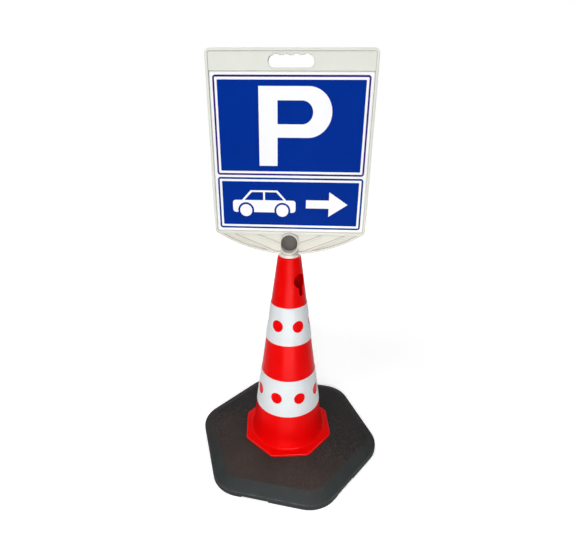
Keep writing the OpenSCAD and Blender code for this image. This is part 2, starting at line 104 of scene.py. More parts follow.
@dataclass(frozen=True)
class Surface:
    """Points and quads of one or more patches, with one mark between 0 and 1 for each point."""

    points: Array
    quads: Array
    marks: Array

    @staticmethod
    def lattice(points: Array, wraps: tuple[bool, bool], marks: Array | float = 0.0) -> "Surface":
        """Quads between the neighbours of a grid of points.

        Args:
            points: Grid of shape (rows, columns, 3).
            wraps: Whether the last row joins the first, and whether the last column does.
            marks: Marks of the points, in a shape that spreads over the grid.

        Returns:
            The grid as a surface.
        """
        shape = points.shape[:2]
        index = np.arange(shape[0] * shape[1]).reshape(shape)
        if wraps[0]:
            index = np.vstack([index, index[:1]])
        if wraps[1]:
            index = np.hstack([index, index[:, :1]])
        corners = [index[:-1, :-1], index[:-1, 1:], index[1:, 1:], index[1:, :-1]]
        quads = np.stack(corners, axis=-1).reshape(-1, 4)
        return Surface(points.reshape(-1, 3), quads, np.broadcast_to(marks, shape).ravel())

    @staticmethod
    def sheet(points: Array) -> "Surface":
        """Grid with open edges, such as a stretch of wall."""
        return Surface.lattice(points, (False, False))

    @staticmethod
    def tube(points: Array, marks: Array | float = 0.0) -> "Surface":
        """Grid whose last column joins the first, such as a wall that goes all the way round."""
        return Surface.lattice(points, (False, True), marks)

    @staticmethod
    def ring(points: Array, marks: Array | float = 0.0) -> "Surface":
        """Grid closed both ways, such as a closed section that is carried all the way round."""
        return Surface.lattice(points, (True, True), marks)

    @staticmethod
    def joined(parts: Sequence["Surface"]) -> "Surface":
        """Several surfaces as one.

        Args:
            parts: The surfaces.

        Returns:
            One surface, in which the quads' numbers are moved on by the points before them.
        """
        starts = np.cumsum([0] + [len(part.points) for part in parts[:-1]])
        return Surface(
            np.concatenate([part.points for part in parts]),
            np.concatenate([part.quads + start for part, start in zip(parts, starts)]),
            np.concatenate([part.marks for part in parts]),
        )

    def turned(self, angle: float) -> "Surface":
        """The surface turned about Z.

        Args:
            angle: The turn, in radians.

        Returns:
            A turned copy.
        """
        cos, sin = np.cos(angle), np.sin(angle)
        turn = np.array([[cos, sin, 0.0], [-sin, cos, 0.0], [0.0, 0.0, 1.0]])
        return Surface(self.points @ turn, self.quads, self.marks)


def parabola(start: Array, corner: Array, end: Array, t: Array) -> Array:
    """Parabola from start to end that a corner controls: (1-t)^2 start + 2t(1-t) corner + t^2 end."""
    return (1 - t) ** 2 * start + 2 * t * (1 - t) * corner + t**2 * end


def softened(rows: Sequence[Sequence[float]], steps: int = CORNER_STEPS) -> Array:
    """Polyline with soft corners.

    Each corner is left at the cut's distance along both of its edges, and a parabola that the corner
    controls joins those two points. Lengths are taken in the first two columns. A corner without a cut
    stays sharp, such as the two ends of an open line.

    Args:
        rows: Two or more coordinates of each corner and, last, its cut. Coordinates past the second are
            carried along.
        steps: Points on each corner.

    Returns:
        Points of shape (corners * steps, coordinates).
    """
    table = np.array(rows, float)
    corners, cuts = table[:, :-1], table[:, -1]
    ends = []
    for step in (1, -1):
        edge = np.roll(corners, step, axis=0) - corners
        length = np.maximum(np.linalg.norm(edge[:, :2], axis=1), TINY)
        ends.append((corners + edge * (cuts / length)[:, None])[:, None])
    t = np.linspace(0.0, 1.0, steps)[None, :, None]
    return parabola(ends[0], corners[:, None], ends[1], t).reshape(-1, corners.shape[1])


def rectangle(low: Span, high: Span, cuts: Sequence[float], steps: int = CORNER_STEPS) -> Array:
    """Outline of a rectangle with soft corners, anticlockwise from its lower left corner.

    Args:
        low: Its lower left corner.
        high: Its upper right corner.
        cuts: One cut for each corner.
        steps: Points on each corner.

    Returns:
        Points of shape (4 * steps, 2).
    """
    corners = [low, (high[0], low[1]), high, (low[0], high[1])]
    return softened([(*corner, cut) for corner, cut in zip(corners, cuts)], steps)


def centred_rectangle(half_w: float, half_h: float, cut: float) -> Array:
    """Outline of a rectangle round the origin with four like corners."""
    return rectangle((-half_w, -half_h), (half_w, half_h), [cut] * 4)


def ring_angles(columns: int = COLUMNS) -> Array:
    """Angles of the columns round a turned piece, in radians."""
    return FULL_TURN * np.arange(columns) / columns


def polygon_growth(angles: Array, sides: int, most: float) -> Array:
    """How far a regular polygon reaches past its inner circle, as a factor.

    The factor is 1 over the cosine of the angle from the nearest flat. A flat faces angle 0.

    Args:
        angles: Angles of the columns.
        sides: Number of flats.
        most: Largest factor, at which the corners are cut off.

    Returns:
        The factor at each column.
    """
    pitch = FULL_TURN / sides
    from_flat = (angles + pitch / 2) % pitch - pitch / 2
    return np.minimum(1 / np.cos(from_flat), most)


def turned_about_z(profile: Array, angles: Array, growth: Array | float = 1.0) -> Array:
    """Profile turned round Z, from a circle to a polygon by its share.

    Args:
        profile: Rows of radius, height and, if there is a third column, the polygon's share.
        angles: Angles of the columns.
        growth: The polygon's factor on the radius at each column.

    Returns:
        Grid of shape (rows, columns, 3).
    """
    share = profile[:, 2:3] if profile.shape[1] > 2 else np.zeros((len(profile), 1))
    radius = profile[:, :1] * (1 + share * (growth - 1))
    height = np.broadcast_to(profile[:, 1:2], radius.shape)
    return np.stack([radius * np.cos(angles), radius * np.sin(angles), height + 0 * angles], axis=-1)


def tall_ring(profile: Array, stretch: float, centre_z: float, columns: int = 96) -> Array:
    """Profile turned about Y into a ring taller than wide: the lower half of the turn is moved down.

    Args:
        profile: Rows of radius and place along Y.
        stretch: How far the lower half is moved.
        centre_z: Height of the upper half's centre.
        columns: Columns of the whole turn.

    Returns:
        Grid of shape (rows, columns + 2, 3).
    """
    half = np.linspace(0, np.pi, columns // 2 + 1)
    grid = turned_about_z(profile, np.concatenate([half, half + np.pi]))
    height = grid[..., 1] + centre_z - np.repeat([0.0, stretch], len(half))
    return np.stack([grid[..., 0], grid[..., 2], height], axis=-1)


def standing(x: Array, depth: Array, z: Array) -> Array:
    """Grid of points that stands in the XZ plane, with one depth along Y for each row."""
    return np.stack([x, np.broadcast_to(depth[:, None], x.shape), z], axis=-1)


def bar(
    section: Array, stations: Array, across: Place, up: Place, marks: Array | float = 0.0
) -> Surface:
    """Closed bar: a section carried along straight stations and drawn to a point at both ends.

    Args:
        section: Closed outline of shape (count, 2), measured along across and up.
        stations: Rows of x, y, z and the section's scale at that place.
        across: Direction of the section's first axis.
        up: Direction of the section's second axis.
        marks: Marks of the section's points.

    Returns:
        The bar as a surface.
    """
    capped = np.vstack([stations[:1], stations, stations[-1:]])
    scale = capped[:, 3].copy()
    scale[[0, -1]] = 0.0
    flat = section[:, :1] * np.array(across) + section[:, 1:2] * np.array(up)
    return Surface.tube(capped[:, None, :3] + scale[:, None, None] * flat[None], marks)


def make_piece(
    name: str, surface: Surface, body: Body, nodes: Sequence[str], finish: Finish
) -> None:
    """Makes an object from a surface, welded, with its faces outwards, and hangs it on its body.

    Args:
        name: Name of the piece.
        surface: Its points and quads.
        body: The body that it moves with.
        nodes: CAD nodes that it stands for.
        finish: What its material is made by.
    """
    mesh = bpy.data.meshes.new(name)
    mesh.from_pydata(surface.points.tolist(), [], surface.quads.tolist())
    marks = mesh.attributes.new("mark", "FLOAT", "POINT")
    marks.data.foreach_set("value", surface.marks.astype(np.float32))
    work = bmesh.new()
    work.from_mesh(mesh)
    bmesh.ops.remove_doubles(work, verts=work.verts, dist=WELD)
    bmesh.ops.dissolve_degenerate(work, edges=work.edges, dist=WELD / 4)
    bmesh.ops.recalc_face_normals(work, faces=work.faces)
    work.to_mesh(mesh)
    work.free()
    mesh.polygons.foreach_set("use_smooth", np.ones(len(mesh.polygons), bool))
    mesh.set_sharp_from_angle(angle=CREASE)
    piece = bpy.data.objects.new(name, mesh)
    flat = piece.modifiers.new("flat_faces", "WEIGHTED_NORMAL")
    flat.keep_sharp = True
    bpy.context.scene.collection.objects.link(piece)
    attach(piece, body.value)
    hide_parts(*nodes)
    mesh.materials.append(finish.made())
    stood_for = ", ".join(nodes)
    log.info("%s: %d faces on body %s, stands for %s", name, len(mesh.polygons), body.value, stood_for)


def linear(red: int, green: int, blue: int) -> Colour:
    """Scene-linear colour of an sRGB colour, by the standard's straight part and power part.

    Args:
        red: From 0 to 255, as are the other two.
        green: The second channel.
        blue: The third channel.

    Returns:
        The colour, each channel from 0 to 1.
    """
    share = np.array([red, green, blue]) / 255
    made = np.where(share <= 0.04045, share / 12.92, ((share + 0.055) / 1.055) ** 2.4)
    return tuple(float(x) for x in made)


@dataclass(frozen=True)
class Lumps:
    """Soft noise: size of its lumps, their detail, the span of its range that counts and the result."""

    size: float
    detail: float
    span: Span = WHOLE
    result: Span = WHOLE


@dataclass(frozen=True)
class Relief:
    """Fine relief of a face: size of its lumps, their detail, its depth and its strength."""

    size: float
    detail: float
    depth: float
    strength: float


class Graph:
    """Node graph of a material or the world."""

    def __init__(self, tree: bpy.types.NodeTree) -> None:
        """Takes up the graph's tree."""
        self.tree = tree

    def node(self, kind: str, inputs: dict | None = None, **settings: object) -> bpy.types.Node:
        """Adds a node.

        Args:
            kind: Its type, without the ShaderNode in front.
            inputs: A link, number or colour for each named or numbered input.
            settings: Its own properties.

        Returns:
            The node.
        """
        made = self.tree.nodes.new("ShaderNode" + kind)
        for key, value in settings.items():
            setattr(made, key, value)
        for key, value in (inputs or {}).items():
            self.feed(made.inputs[key], value)
        return made

    def feed(self, socket: Link, value: object) -> None:
        """Links a socket, or sets its value.

        Args:
            socket: The socket.
            value: A link, or a number, vector or colour that is set on the socket itself.
        """
        if isinstance(value, bpy.types.NodeSocket):
            self.tree.links.new(value, socket)
        elif socket.type == "RGBA" and len(value) == 3:
            socket.default_value = (*value, 1.0)
        else:
            socket.default_value = value

    def remap(self, value: Link, span: Span, result: Span = WHOLE) -> Link:
        """The value carried from one span to another, clamped."""
        return self.node("MapRange", dict(enumerate((value, *span, *result)))).outputs[0]

    def math(self, operation: str, *values: object) -> Link:
        """One operation on one or two numbers."""
        return self.node("Math", dict(enumerate(values)), operation=operation).outputs[0]

    def seen(self) -> Link:
        """Tells what is seen from what only lights the object.

        Returns:
            1 for rays of the camera, of reflections and through glass, and 0 for light.
        """
        rays = self.node("LightPath").outputs
        passed_on = self.math("MAXIMUM", rays["Is Glossy Ray"], rays["Is Transmission Ray"])
        return self.math("MAXIMUM", rays["Is Camera Ray"], passed_on)


class Shading(Graph):
    """A material's graph, with the few kinds of node that the finishes here are made of."""

    def __init__(self, name: str) -> None:
        """Starts a material with its shader.

        Args:
            name: Name of the material.
        """
        self.material = bpy.data.materials.new(name)
        self.material.use_nodes = True
        super().__init__(self.material.node_tree)
        self.shader = self.tree.nodes["Principled BSDF"]
        self.place = self.node("TexCoord").outputs["Object"]

    def set(self, **values: object) -> None:
        """Feeds the shader's own sockets, named with _ for a space."""
        for name, value in values.items():
            self.feed(self.shader.inputs[name.replace("_", " ")], value)

    def axes(self) -> Sequence[Link]:
        """X, Y and Z of the object's coordinates."""
        return self.node("SeparateXYZ", {0: self.place}).outputs

    def mark(self) -> Link:
        """Mark of the surface's points, from 0 to 1."""
        return self.node("Attribute", attribute_name="mark").outputs["Fac"]

    def noise(self, size: float, detail: float, place: Link | None = None) -> Link:
        """Soft noise whose lumps are about the given size in metres, from 0 to 1."""
        inputs = {"Vector": place or self.place, "Scale": 1 / size, "Detail": detail}
        return self.node("TexNoise", inputs).outputs["Fac"]

    def lumps(self, kind: Lumps) -> Link:
        """Soft noise carried from its span to its result."""
        return self.remap(self.noise(kind.size, kind.detail), kind.span, kind.result)

    def grains(self, size: float) -> tuple[Link, Link]:
        """Cells of about the given size in metres, each with a number of its own.

        Args:
            size: Size of the cells.

        Returns:
            The cell's number from 0 to 1, and the distance from its middle in cells.
        """
        cells = self.node("TexVoronoi", {"Vector": self.place, "Scale": 1 / size}).outputs
        return self.node("SeparateColor", {0: cells["Color"]}).outputs[0], cells["Distance"]

    def vector(self, operation: str, *values: object) -> bpy.types.bpy_prop_collection:
        """Vector and Value of one operation on one or two vectors."""
        return self.node("VectorMath", dict(enumerate(values)), operation=operation).outputs

    def mix(self, share: object, first: object, second: object) -> Link:
        """Colour from the first to the second by a share from 0 to 1: sockets 6 and 7 take colours."""
        return self.node("Mix", {0: share, 6: first, 7: second}, data_type="RGBA").outputs[2]

    def bump(self, height: Link, depth: float, strength: object, under: Link | None = None) -> Link:
        """Normal of a relief.

        Args:
            height: Height of the relief, from 0 to 1.
            depth: Its depth in metres.
            strength: How much of it shows, from 0 to 1.
            under: Another normal that it lies on.

        Returns:
            The normal.
        """
        inputs = {"Height": height, "Distance": depth, "Strength": strength}
        if under is not None:
            inputs["Normal"] = under
        return self.node("Bump", inputs).outputs["Normal"]

    def relief(self, kind: Relief, under: Link | None = None) -> Link:
        """Normal of a fine relief, on top of another normal if there is one."""
        return self.bump(self.noise(kind.size, kind.detail), kind.depth, kind.strength, under)


@dataclass(frozen=True)
class CrumbRubber:
    """Pressed crumb rubber: grains of a few tones, painted browner in front as painted light, with a
    smooth skin on its marks.
    """

    name: str
    dark: Colour
    brown: Colour
    fleck: Colour
    skin: Colour
    # Darker tone of the upright edge: painted shade
    edge: Colour
    # Pale tone along the crease: a painted highlight
    painted_highlight: Colour
    edge_z: float
    grain: float
    specular: float = 0.1
    roughness: Span = (0.92, 0.66)
    # Bare crumb, with painted light: the brown spreads from the front in clouds, and pale flecks lie in
    # patches that thin out towards the back
    painted_light_way: Place = (-0.4, -0.92, 0.0)
    clouds: Lumps = Lumps(60 * MM, 5.0, WHOLE, (0.0, 0.22))
    brown_span: Span = (0.12, 0.26)
    grain_shade: Span = (0.0, 0.5)
    fleck_tones: Span = (0.62, 1.0)
    fleck_share: Span = (0.0, 0.42)
    fleck_patches: Lumps = Lumps(70 * MM, 4.0, (0.42, 0.62), (0.25, 1.0))
    fleck_light_span: Span = (-0.14, 0.06)
    fleck_fade: Span = (0.35, 1.0)
    # Moulded skin: heights are measured from the crease above the upright edge, where a pale line is a
    # painted highlight
    edge_span: Span = (-1.2 * MM, 0.4 * MM)
    painted_highlight_span: Span = (0.4 * MM, 1.4 * MM)
    painted_highlight_patches: Lumps = Lumps(30 * MM, 4.0, (0.4, 0.65), (0.1, 0.8))
    skin_patches: Lumps = Lumps(40 * MM, 5.0, (0.3, 0.75), (0.0, 0.4))
    # The skin is worn through in patches, and more so towards the back
    skin_front: Span = (-0.11, 0.0)
    skin_fade: Span = (1.0, 0.35)
    wear: Lumps = Lumps(12 * MM, 5.0)
    wear_span: Span = (0.75, 1.25)
    gloss: Lumps = Lumps(4 * MM, 3.0)
    gloss_span: Span = (0.2, 1.6)
    grain_relief: Span = (0.55, 0.12)
    face: Relief = Relief(1.1 * MM, 5.0, 0.4 * MM, 0.35)

    def crumb(self, s: Shading, tone: Link) -> Link:
        """Colour of the bare crumb, painted browner and paler-flecked towards the front as painted light.

        Args:
            s: The material's graph.
            tone: Each grain's number from 0 to 1.

        Returns:
            The colour.
        """
        # Painted light: the crumb is browner and more flecked along this way, towards the front-left
        front = s.vector("DOT_PRODUCT", s.place, self.painted_light_way)["Value"]
        painted_light_brown = s.remap(s.math("ADD", front, s.lumps(self.clouds)), self.brown_span)
        ground = s.mix(painted_light_brown, self.dark, self.brown)
        shaded = s.mix(s.remap(tone, WHOLE, self.grain_shade), ground, self.dark)
        pale = s.remap(tone, self.fleck_tones, self.fleck_share)
        patches = s.math("MULTIPLY", pale, s.lumps(self.fleck_patches))
        faded = s.math("MULTIPLY", patches, s.remap(front, self.fleck_light_span, self.fleck_fade))
        return s.mix(faded, shaded, self.fleck)

    def moulded(self, s: Shading) -> Link:
        """Colour of the moulded skin, with a painted highlight along the crease above the upright edge
        and painted shade on the upright edge.

        Args:
            s: The material's graph.

        Returns:
            The colour.
        """
        height = s.axes()[2]
        low, high = (self.edge_z + limit for limit in self.edge_span)
        # Painted shade: below the crease the upright edge takes the darker edge tone
        side = s.mix(s.remap(height, (low, high)), self.edge, self.skin)
        # Painted highlight: a pale line along the crease, broken into patches
        away = s.math("ABSOLUTE", s.math("SUBTRACT", height, self.edge_z))
        painted_highlight_share = s.math("MULTIPLY", s.remap(away, self.painted_highlight_span, (1.0, 0.0)), s.lumps(self.painted_highlight_patches))
        return s.mix(s.lumps(self.skin_patches), s.mix(painted_highlight_share, side, self.painted_highlight), self.dark)

    def made(self) -> bpy.types.Material:
        """Builds the material.

        Returns:
            The material.
        """
        s = Shading(self.name)
        mark = s.mark()
        tone, distance = s.grains(self.grain)
        kept = s.math("MULTIPLY", mark, s.remap(s.axes()[1], self.skin_front, self.skin_fade))
        worn = s.remap(s.math("ADD", kept, s.lumps(self.wear)), self.wear_span)
        s.set(Base_Color=s.mix(worn, self.crumb(s, tone), self.moulded(s)))
        s.set(Specular_IOR_Level=self.specular)
        shine = s.math("ADD", worn, s.lumps(self.gloss))
        s.set(Roughness=s.remap(shine, self.gloss_span, self.roughness))
        grains = s.bump(distance, self.grain / 2, s.remap(mark, WHOLE, self.grain_relief))
        s.set(Normal=s.relief(self.face, grains))
        return s.material


@dataclass(frozen=True)
class MouldedPlastic:
    """Moulded plastic: two close tones, a fine grain and, on a drawn wall, faint lines up and down."""

    name: str
    tone: Colour
    shade: Colour
    roughness: float
    specular: float
    drawn: float = 0.0
    # Painted light where the mark is 1: a darker tone is painted shade, a paler one a painted highlight
    painted_light: Colour | None = None
    low_tone: Colour | None = None
    low_span: Span = WHOLE
    tones: Lumps = Lumps(50 * MM, 4.0, (0.35, 0.75))
    painted_light_patches: Lumps = Lumps(20 * MM, 4.0, (0.2, 0.7), (0.6, 1.0))
    gloss: Lumps = Lumps(12 * MM, 5.0, (0.3, 0.7), (-0.04, 0.06))
    face: Relief = Relief(1.2 * MM, 4.0, 0.05 * MM, 0.5)
    streak_size: float = 35 * MM
    streak_detail: float = 3.0
    streak_rise: float = 0.6

    def streaks(self, s: Shading) -> Link:
        """Lines up and down a round wall: noise over the way out from the axis, which hardly climbs.

        Args:
            s: The material's graph.

        Returns:
            Height of the lines, from 0 to 1.
        """
        flat = s.vector("MULTIPLY", s.place, (1.0, 1.0, 0.0))[0]
        outwards = s.vector("NORMALIZE", flat)[0]
        climb = s.vector("MULTIPLY", s.place, (0.0, 0.0, self.streak_rise))[0]
        return s.noise(self.streak_size, self.streak_detail, s.vector("ADD", outwards, climb)[0])

    def made(self) -> bpy.types.Material:
        """Builds the material. A painted tone lies where the mark is 1: painted shade on the board, a
        painted highlight on the cone.

        Returns:
            The material.
        """
        s = Shading(self.name)
        tint = s.mix(s.lumps(self.tones), self.tone, self.shade)
        if self.low_tone is not None:
            tint = s.mix(s.remap(s.axes()[2], self.low_span), self.low_tone, tint)
        # Painted light: the marked tone, in patches
        if self.painted_light is not None:
            tint = s.mix(s.math("MULTIPLY", s.mark(), s.lumps(self.painted_light_patches)), tint, self.painted_light)
        s.set(Base_Color=tint, Specular_IOR_Level=self.specular)
        s.set(Roughness=s.math("ADD", self.roughness, s.lumps(self.gloss)))
        normal = s.relief(self.face)
        if self.drawn:
            normal = s.bump(self.streaks(s), self.drawn, 1.0, normal)
        s.set(Normal=normal)
        return s.material


@dataclass(frozen=True)
class CellFilm:
    """Retroreflective film: a fine net of sealed cells round the cone, under a smooth face."""

    name: str
    tone: Colour
    net: Colour
    cells_round: int
    cell_h: float
    specular: float = 0.1
    sheen: float = 0.12
    sheen_roughness: float = 0.4
    net_span: Span = (0.4, 0.49)
    net_share: float = 0.45
    net_depth: float = 0.08 * MM
    net_relief: float = 0.25
    clouds: Lumps = Lumps(40 * MM, 3.0, (0.3, 0.7), (0.0, 0.35))
    gloss: Lumps = Lumps(8 * MM, 4.0, (0.3, 0.7), (0.32, 0.46))

    def edges(self, s: Shading) -> Link:
        """Net between the cells. They count evenly round the cone, so it has no seam.

        Every other row is moved by half a cell. A point's distance from its cell's middle is the larger
        one of those across and up.

        Args:
            s: The material's graph.

        Returns:
            1 on the net and 0 in the cells.
        """
        x, y, z = s.axes()
        across = s.math("MULTIPLY", s.math("ARCTAN2", y, x), self.cells_round / FULL_TURN)
        up = s.math("MULTIPLY", z, 1 / self.cell_h)
        moved = s.math("MULTIPLY", s.math("FLOORED_MODULO", s.math("FLOOR", up), 2.0), 0.5)
        away = [
            s.math("ABSOLUTE", s.math("SUBTRACT", s.math("FRACT", cell), 0.5))
            for cell in (s.math("ADD", across, moved), up)
        ]
        return s.remap(s.math("MAXIMUM", *away), self.net_span)

    def made(self) -> bpy.types.Material:
        """Builds the material.

        Returns:
            The material.
        """
        s = Shading(self.name)
        edge = self.edges(s)
        tint = s.mix(s.lumps(self.clouds), self.tone, self.net)
        s.set(Base_Color=s.mix(s.math("MULTIPLY", edge, self.net_share), tint, self.net))
        s.set(Specular_IOR_Level=self.specular, Roughness=s.lumps(self.gloss))
        s.set(Sheen_Weight=self.sheen, Sheen_Roughness=self.sheen_roughness)
        s.set(Normal=s.bump(edge, self.net_depth, self.net_relief))
        return s.material


@dataclass(frozen=True)
class PrintedFields:
    """Edges of the two blue fields inside their border lines, a little outside the fields themselves."""

    half_w: float = 140.75 * MM
    low_low: float = 566.75 * MM
    low_top: float = 660.25 * MM
    high_low: float = 676.25 * MM
    high_top: float = 845.35 * MM


@dataclass(frozen=True)
class Vinyl:
    """Printed vinyl film: even colour with a slight orange-peel face, and border lines of other tones."""

    name: str
    tone: Colour
    shade: Colour
    roughness: float
    specular: float
    line_tone: Colour | None = None
    line_low: Colour | None = None
    tones: Lumps = Lumps(50 * MM, 4.0, (0.3, 0.75))
    gloss: Lumps = Lumps(20 * MM, 5.0, (0.3, 0.7), (-0.03, 0.05))
    face: Relief = Relief(1.6 * MM, 3.0, 0.03 * MM, 0.4)

    def bordered(self, s: Shading, tint: Link) -> Link:
        """Colours the border lines, which lie outside the two printed fields.

        Args:
            s: The material's graph.
            tint: Colour of the fields.

        Returns:
            Colour of fields and lines.
        """
        fields = PrintedFields()
        x, _, z = s.axes()
        beside = s.math("GREATER_THAN", s.math("ABSOLUTE", x), fields.half_w)
        over_low = s.math("GREATER_THAN", z, fields.low_top)
        between = s.math("MULTIPLY", over_low, s.math("LESS_THAN", z, fields.high_low))
        over_all = s.math("GREATER_THAN", z, fields.high_top)
        outside = s.math("ADD", s.math("LESS_THAN", z, fields.low_low), over_all)
        line = s.math("MAXIMUM", beside, s.math("MAXIMUM", between, outside))
        upper = s.math("GREATER_THAN", z, (fields.low_top + fields.high_low) / 2)
        return s.mix(line, tint, s.mix(upper, self.line_low, self.line_tone))

    def made(self) -> bpy.types.Material:
        """Builds the material.

        Returns:
            The material.
        """
        s = Shading(self.name)
        tint = s.mix(s.lumps(self.tones), self.tone, self.shade)
        if self.line_tone is not None:
            tint = self.bordered(s, tint)
        s.set(Base_Color=tint, Specular_IOR_Level=self.specular)
        s.set(Roughness=s.math("ADD", self.roughness, s.lumps(self.gloss)))
        s.set(Normal=s.relief(self.face))
        return s.material


@dataclass(frozen=True)
class PlatedMetal:
    """Plated or turned metal: fine cloudy spangle in tone and roughness."""

    name: str
    tone: Colour
    shade: Colour
    roughness: float
    spangle: float = 2.2 * MM
    clouds: Lumps = Lumps(10 * MM, 5.0)
    gloss_span: Span = (0.2, 0.8)
    gloss: Span = (-0.06, 0.1)
    face: Relief = Relief(0.8 * MM, 4.0, 0.03 * MM, 0.4)

    def made(self) -> bpy.types.Material:
        """Builds the material. Its cloud is the mean of the spangle and a soft noise.

        Returns:
            The material.
        """
        s = Shading(self.name)
        both = s.math("ADD", s.grains(self.spangle)[0], s.lumps(self.clouds))
        cloud = s.math("MULTIPLY", both, 0.5)
        s.set(Base_Color=s.mix(cloud, self.tone, self.shade), Metallic=1.0)
        s.set(Roughness=s.math("ADD", self.roughness, s.remap(cloud, self.gloss_span, self.gloss)))
        s.set(Normal=s.relief(self.face))
        return s.material


# The pale rubbed tone along the crease is a painted highlight, the darker edge tone on the upright edge
# painted shade, and the brown laid towards the front painted light
RUBBER = CrumbRubber(
    "crumb_rubber", dark=linear(40, 38, 38), brown=linear(67, 57, 52), fleck=linear(92, 86, 81),
    skin=linear(49, 53, 53), edge=linear(40, 43, 44), painted_highlight=linear(84, 88, 89),
    edge_z=13 * MM, grain=2.4 * MM,
)
# The paler red on the marked flange edge is a painted highlight
RED = MouldedPlastic(
    "cone_red", linear(239, 3, 3), linear(232, 2, 2), roughness=0.22, specular=0.04,
    drawn=0.25 * MM, painted_light=linear(246, 52, 46),
)
SLEEVE = CellFilm(
    "reflective_sleeve", linear(230, 234, 236), linear(210, 215, 219), cells_round=132, cell_h=3.6 * MM,
)
# The darker marked tone in the board's corners, along its steps and under the hub is painted shade
BOARD = MouldedPlastic(
    "board_plastic", linear(229, 231, 222), linear(225, 227, 217), roughness=0.42, specular=0.2,
    painted_light=linear(140, 139, 128), low_tone=linear(221, 218, 208), low_span=(530 * MM, 580 * MM),
)
BUSH = MouldedPlastic(
    "bush_plastic", linear(240, 235, 228), linear(232, 226, 218), roughness=0.36, specular=0.35,
)
PLUG = MouldedPlastic(
    "plug_rubber", linear(88, 80, 75), linear(81, 74, 69), roughness=0.62, specular=0.25,
    face=Relief(0.7 * MM, 4.0, 0.05 * MM, 0.5),
)
WHITE_FILM = Vinyl(
    "white_vinyl", linear(252, 252, 254), linear(249, 250, 253), roughness=0.36, specular=0.2,
)
BLUE_FILM = Vinyl(
    "blue_vinyl", linear(2, 49, 151), linear(2, 46, 146), roughness=0.45, specular=0.008,
    line_tone=linear(62, 40, 124), line_low=linear(14, 62, 140),
)
ZINC = PlatedMetal("zinc_plate", linear(196, 199, 202), linear(150, 154, 160), roughness=0.34)
CLIP = PlatedMetal("spring_steel", linear(120, 123, 128), linear(84, 87, 92), roughness=0.38)
BRASS = PlatedMetal("turned_brass", linear(206, 170, 92), linear(164, 128, 60), roughness=0.3)


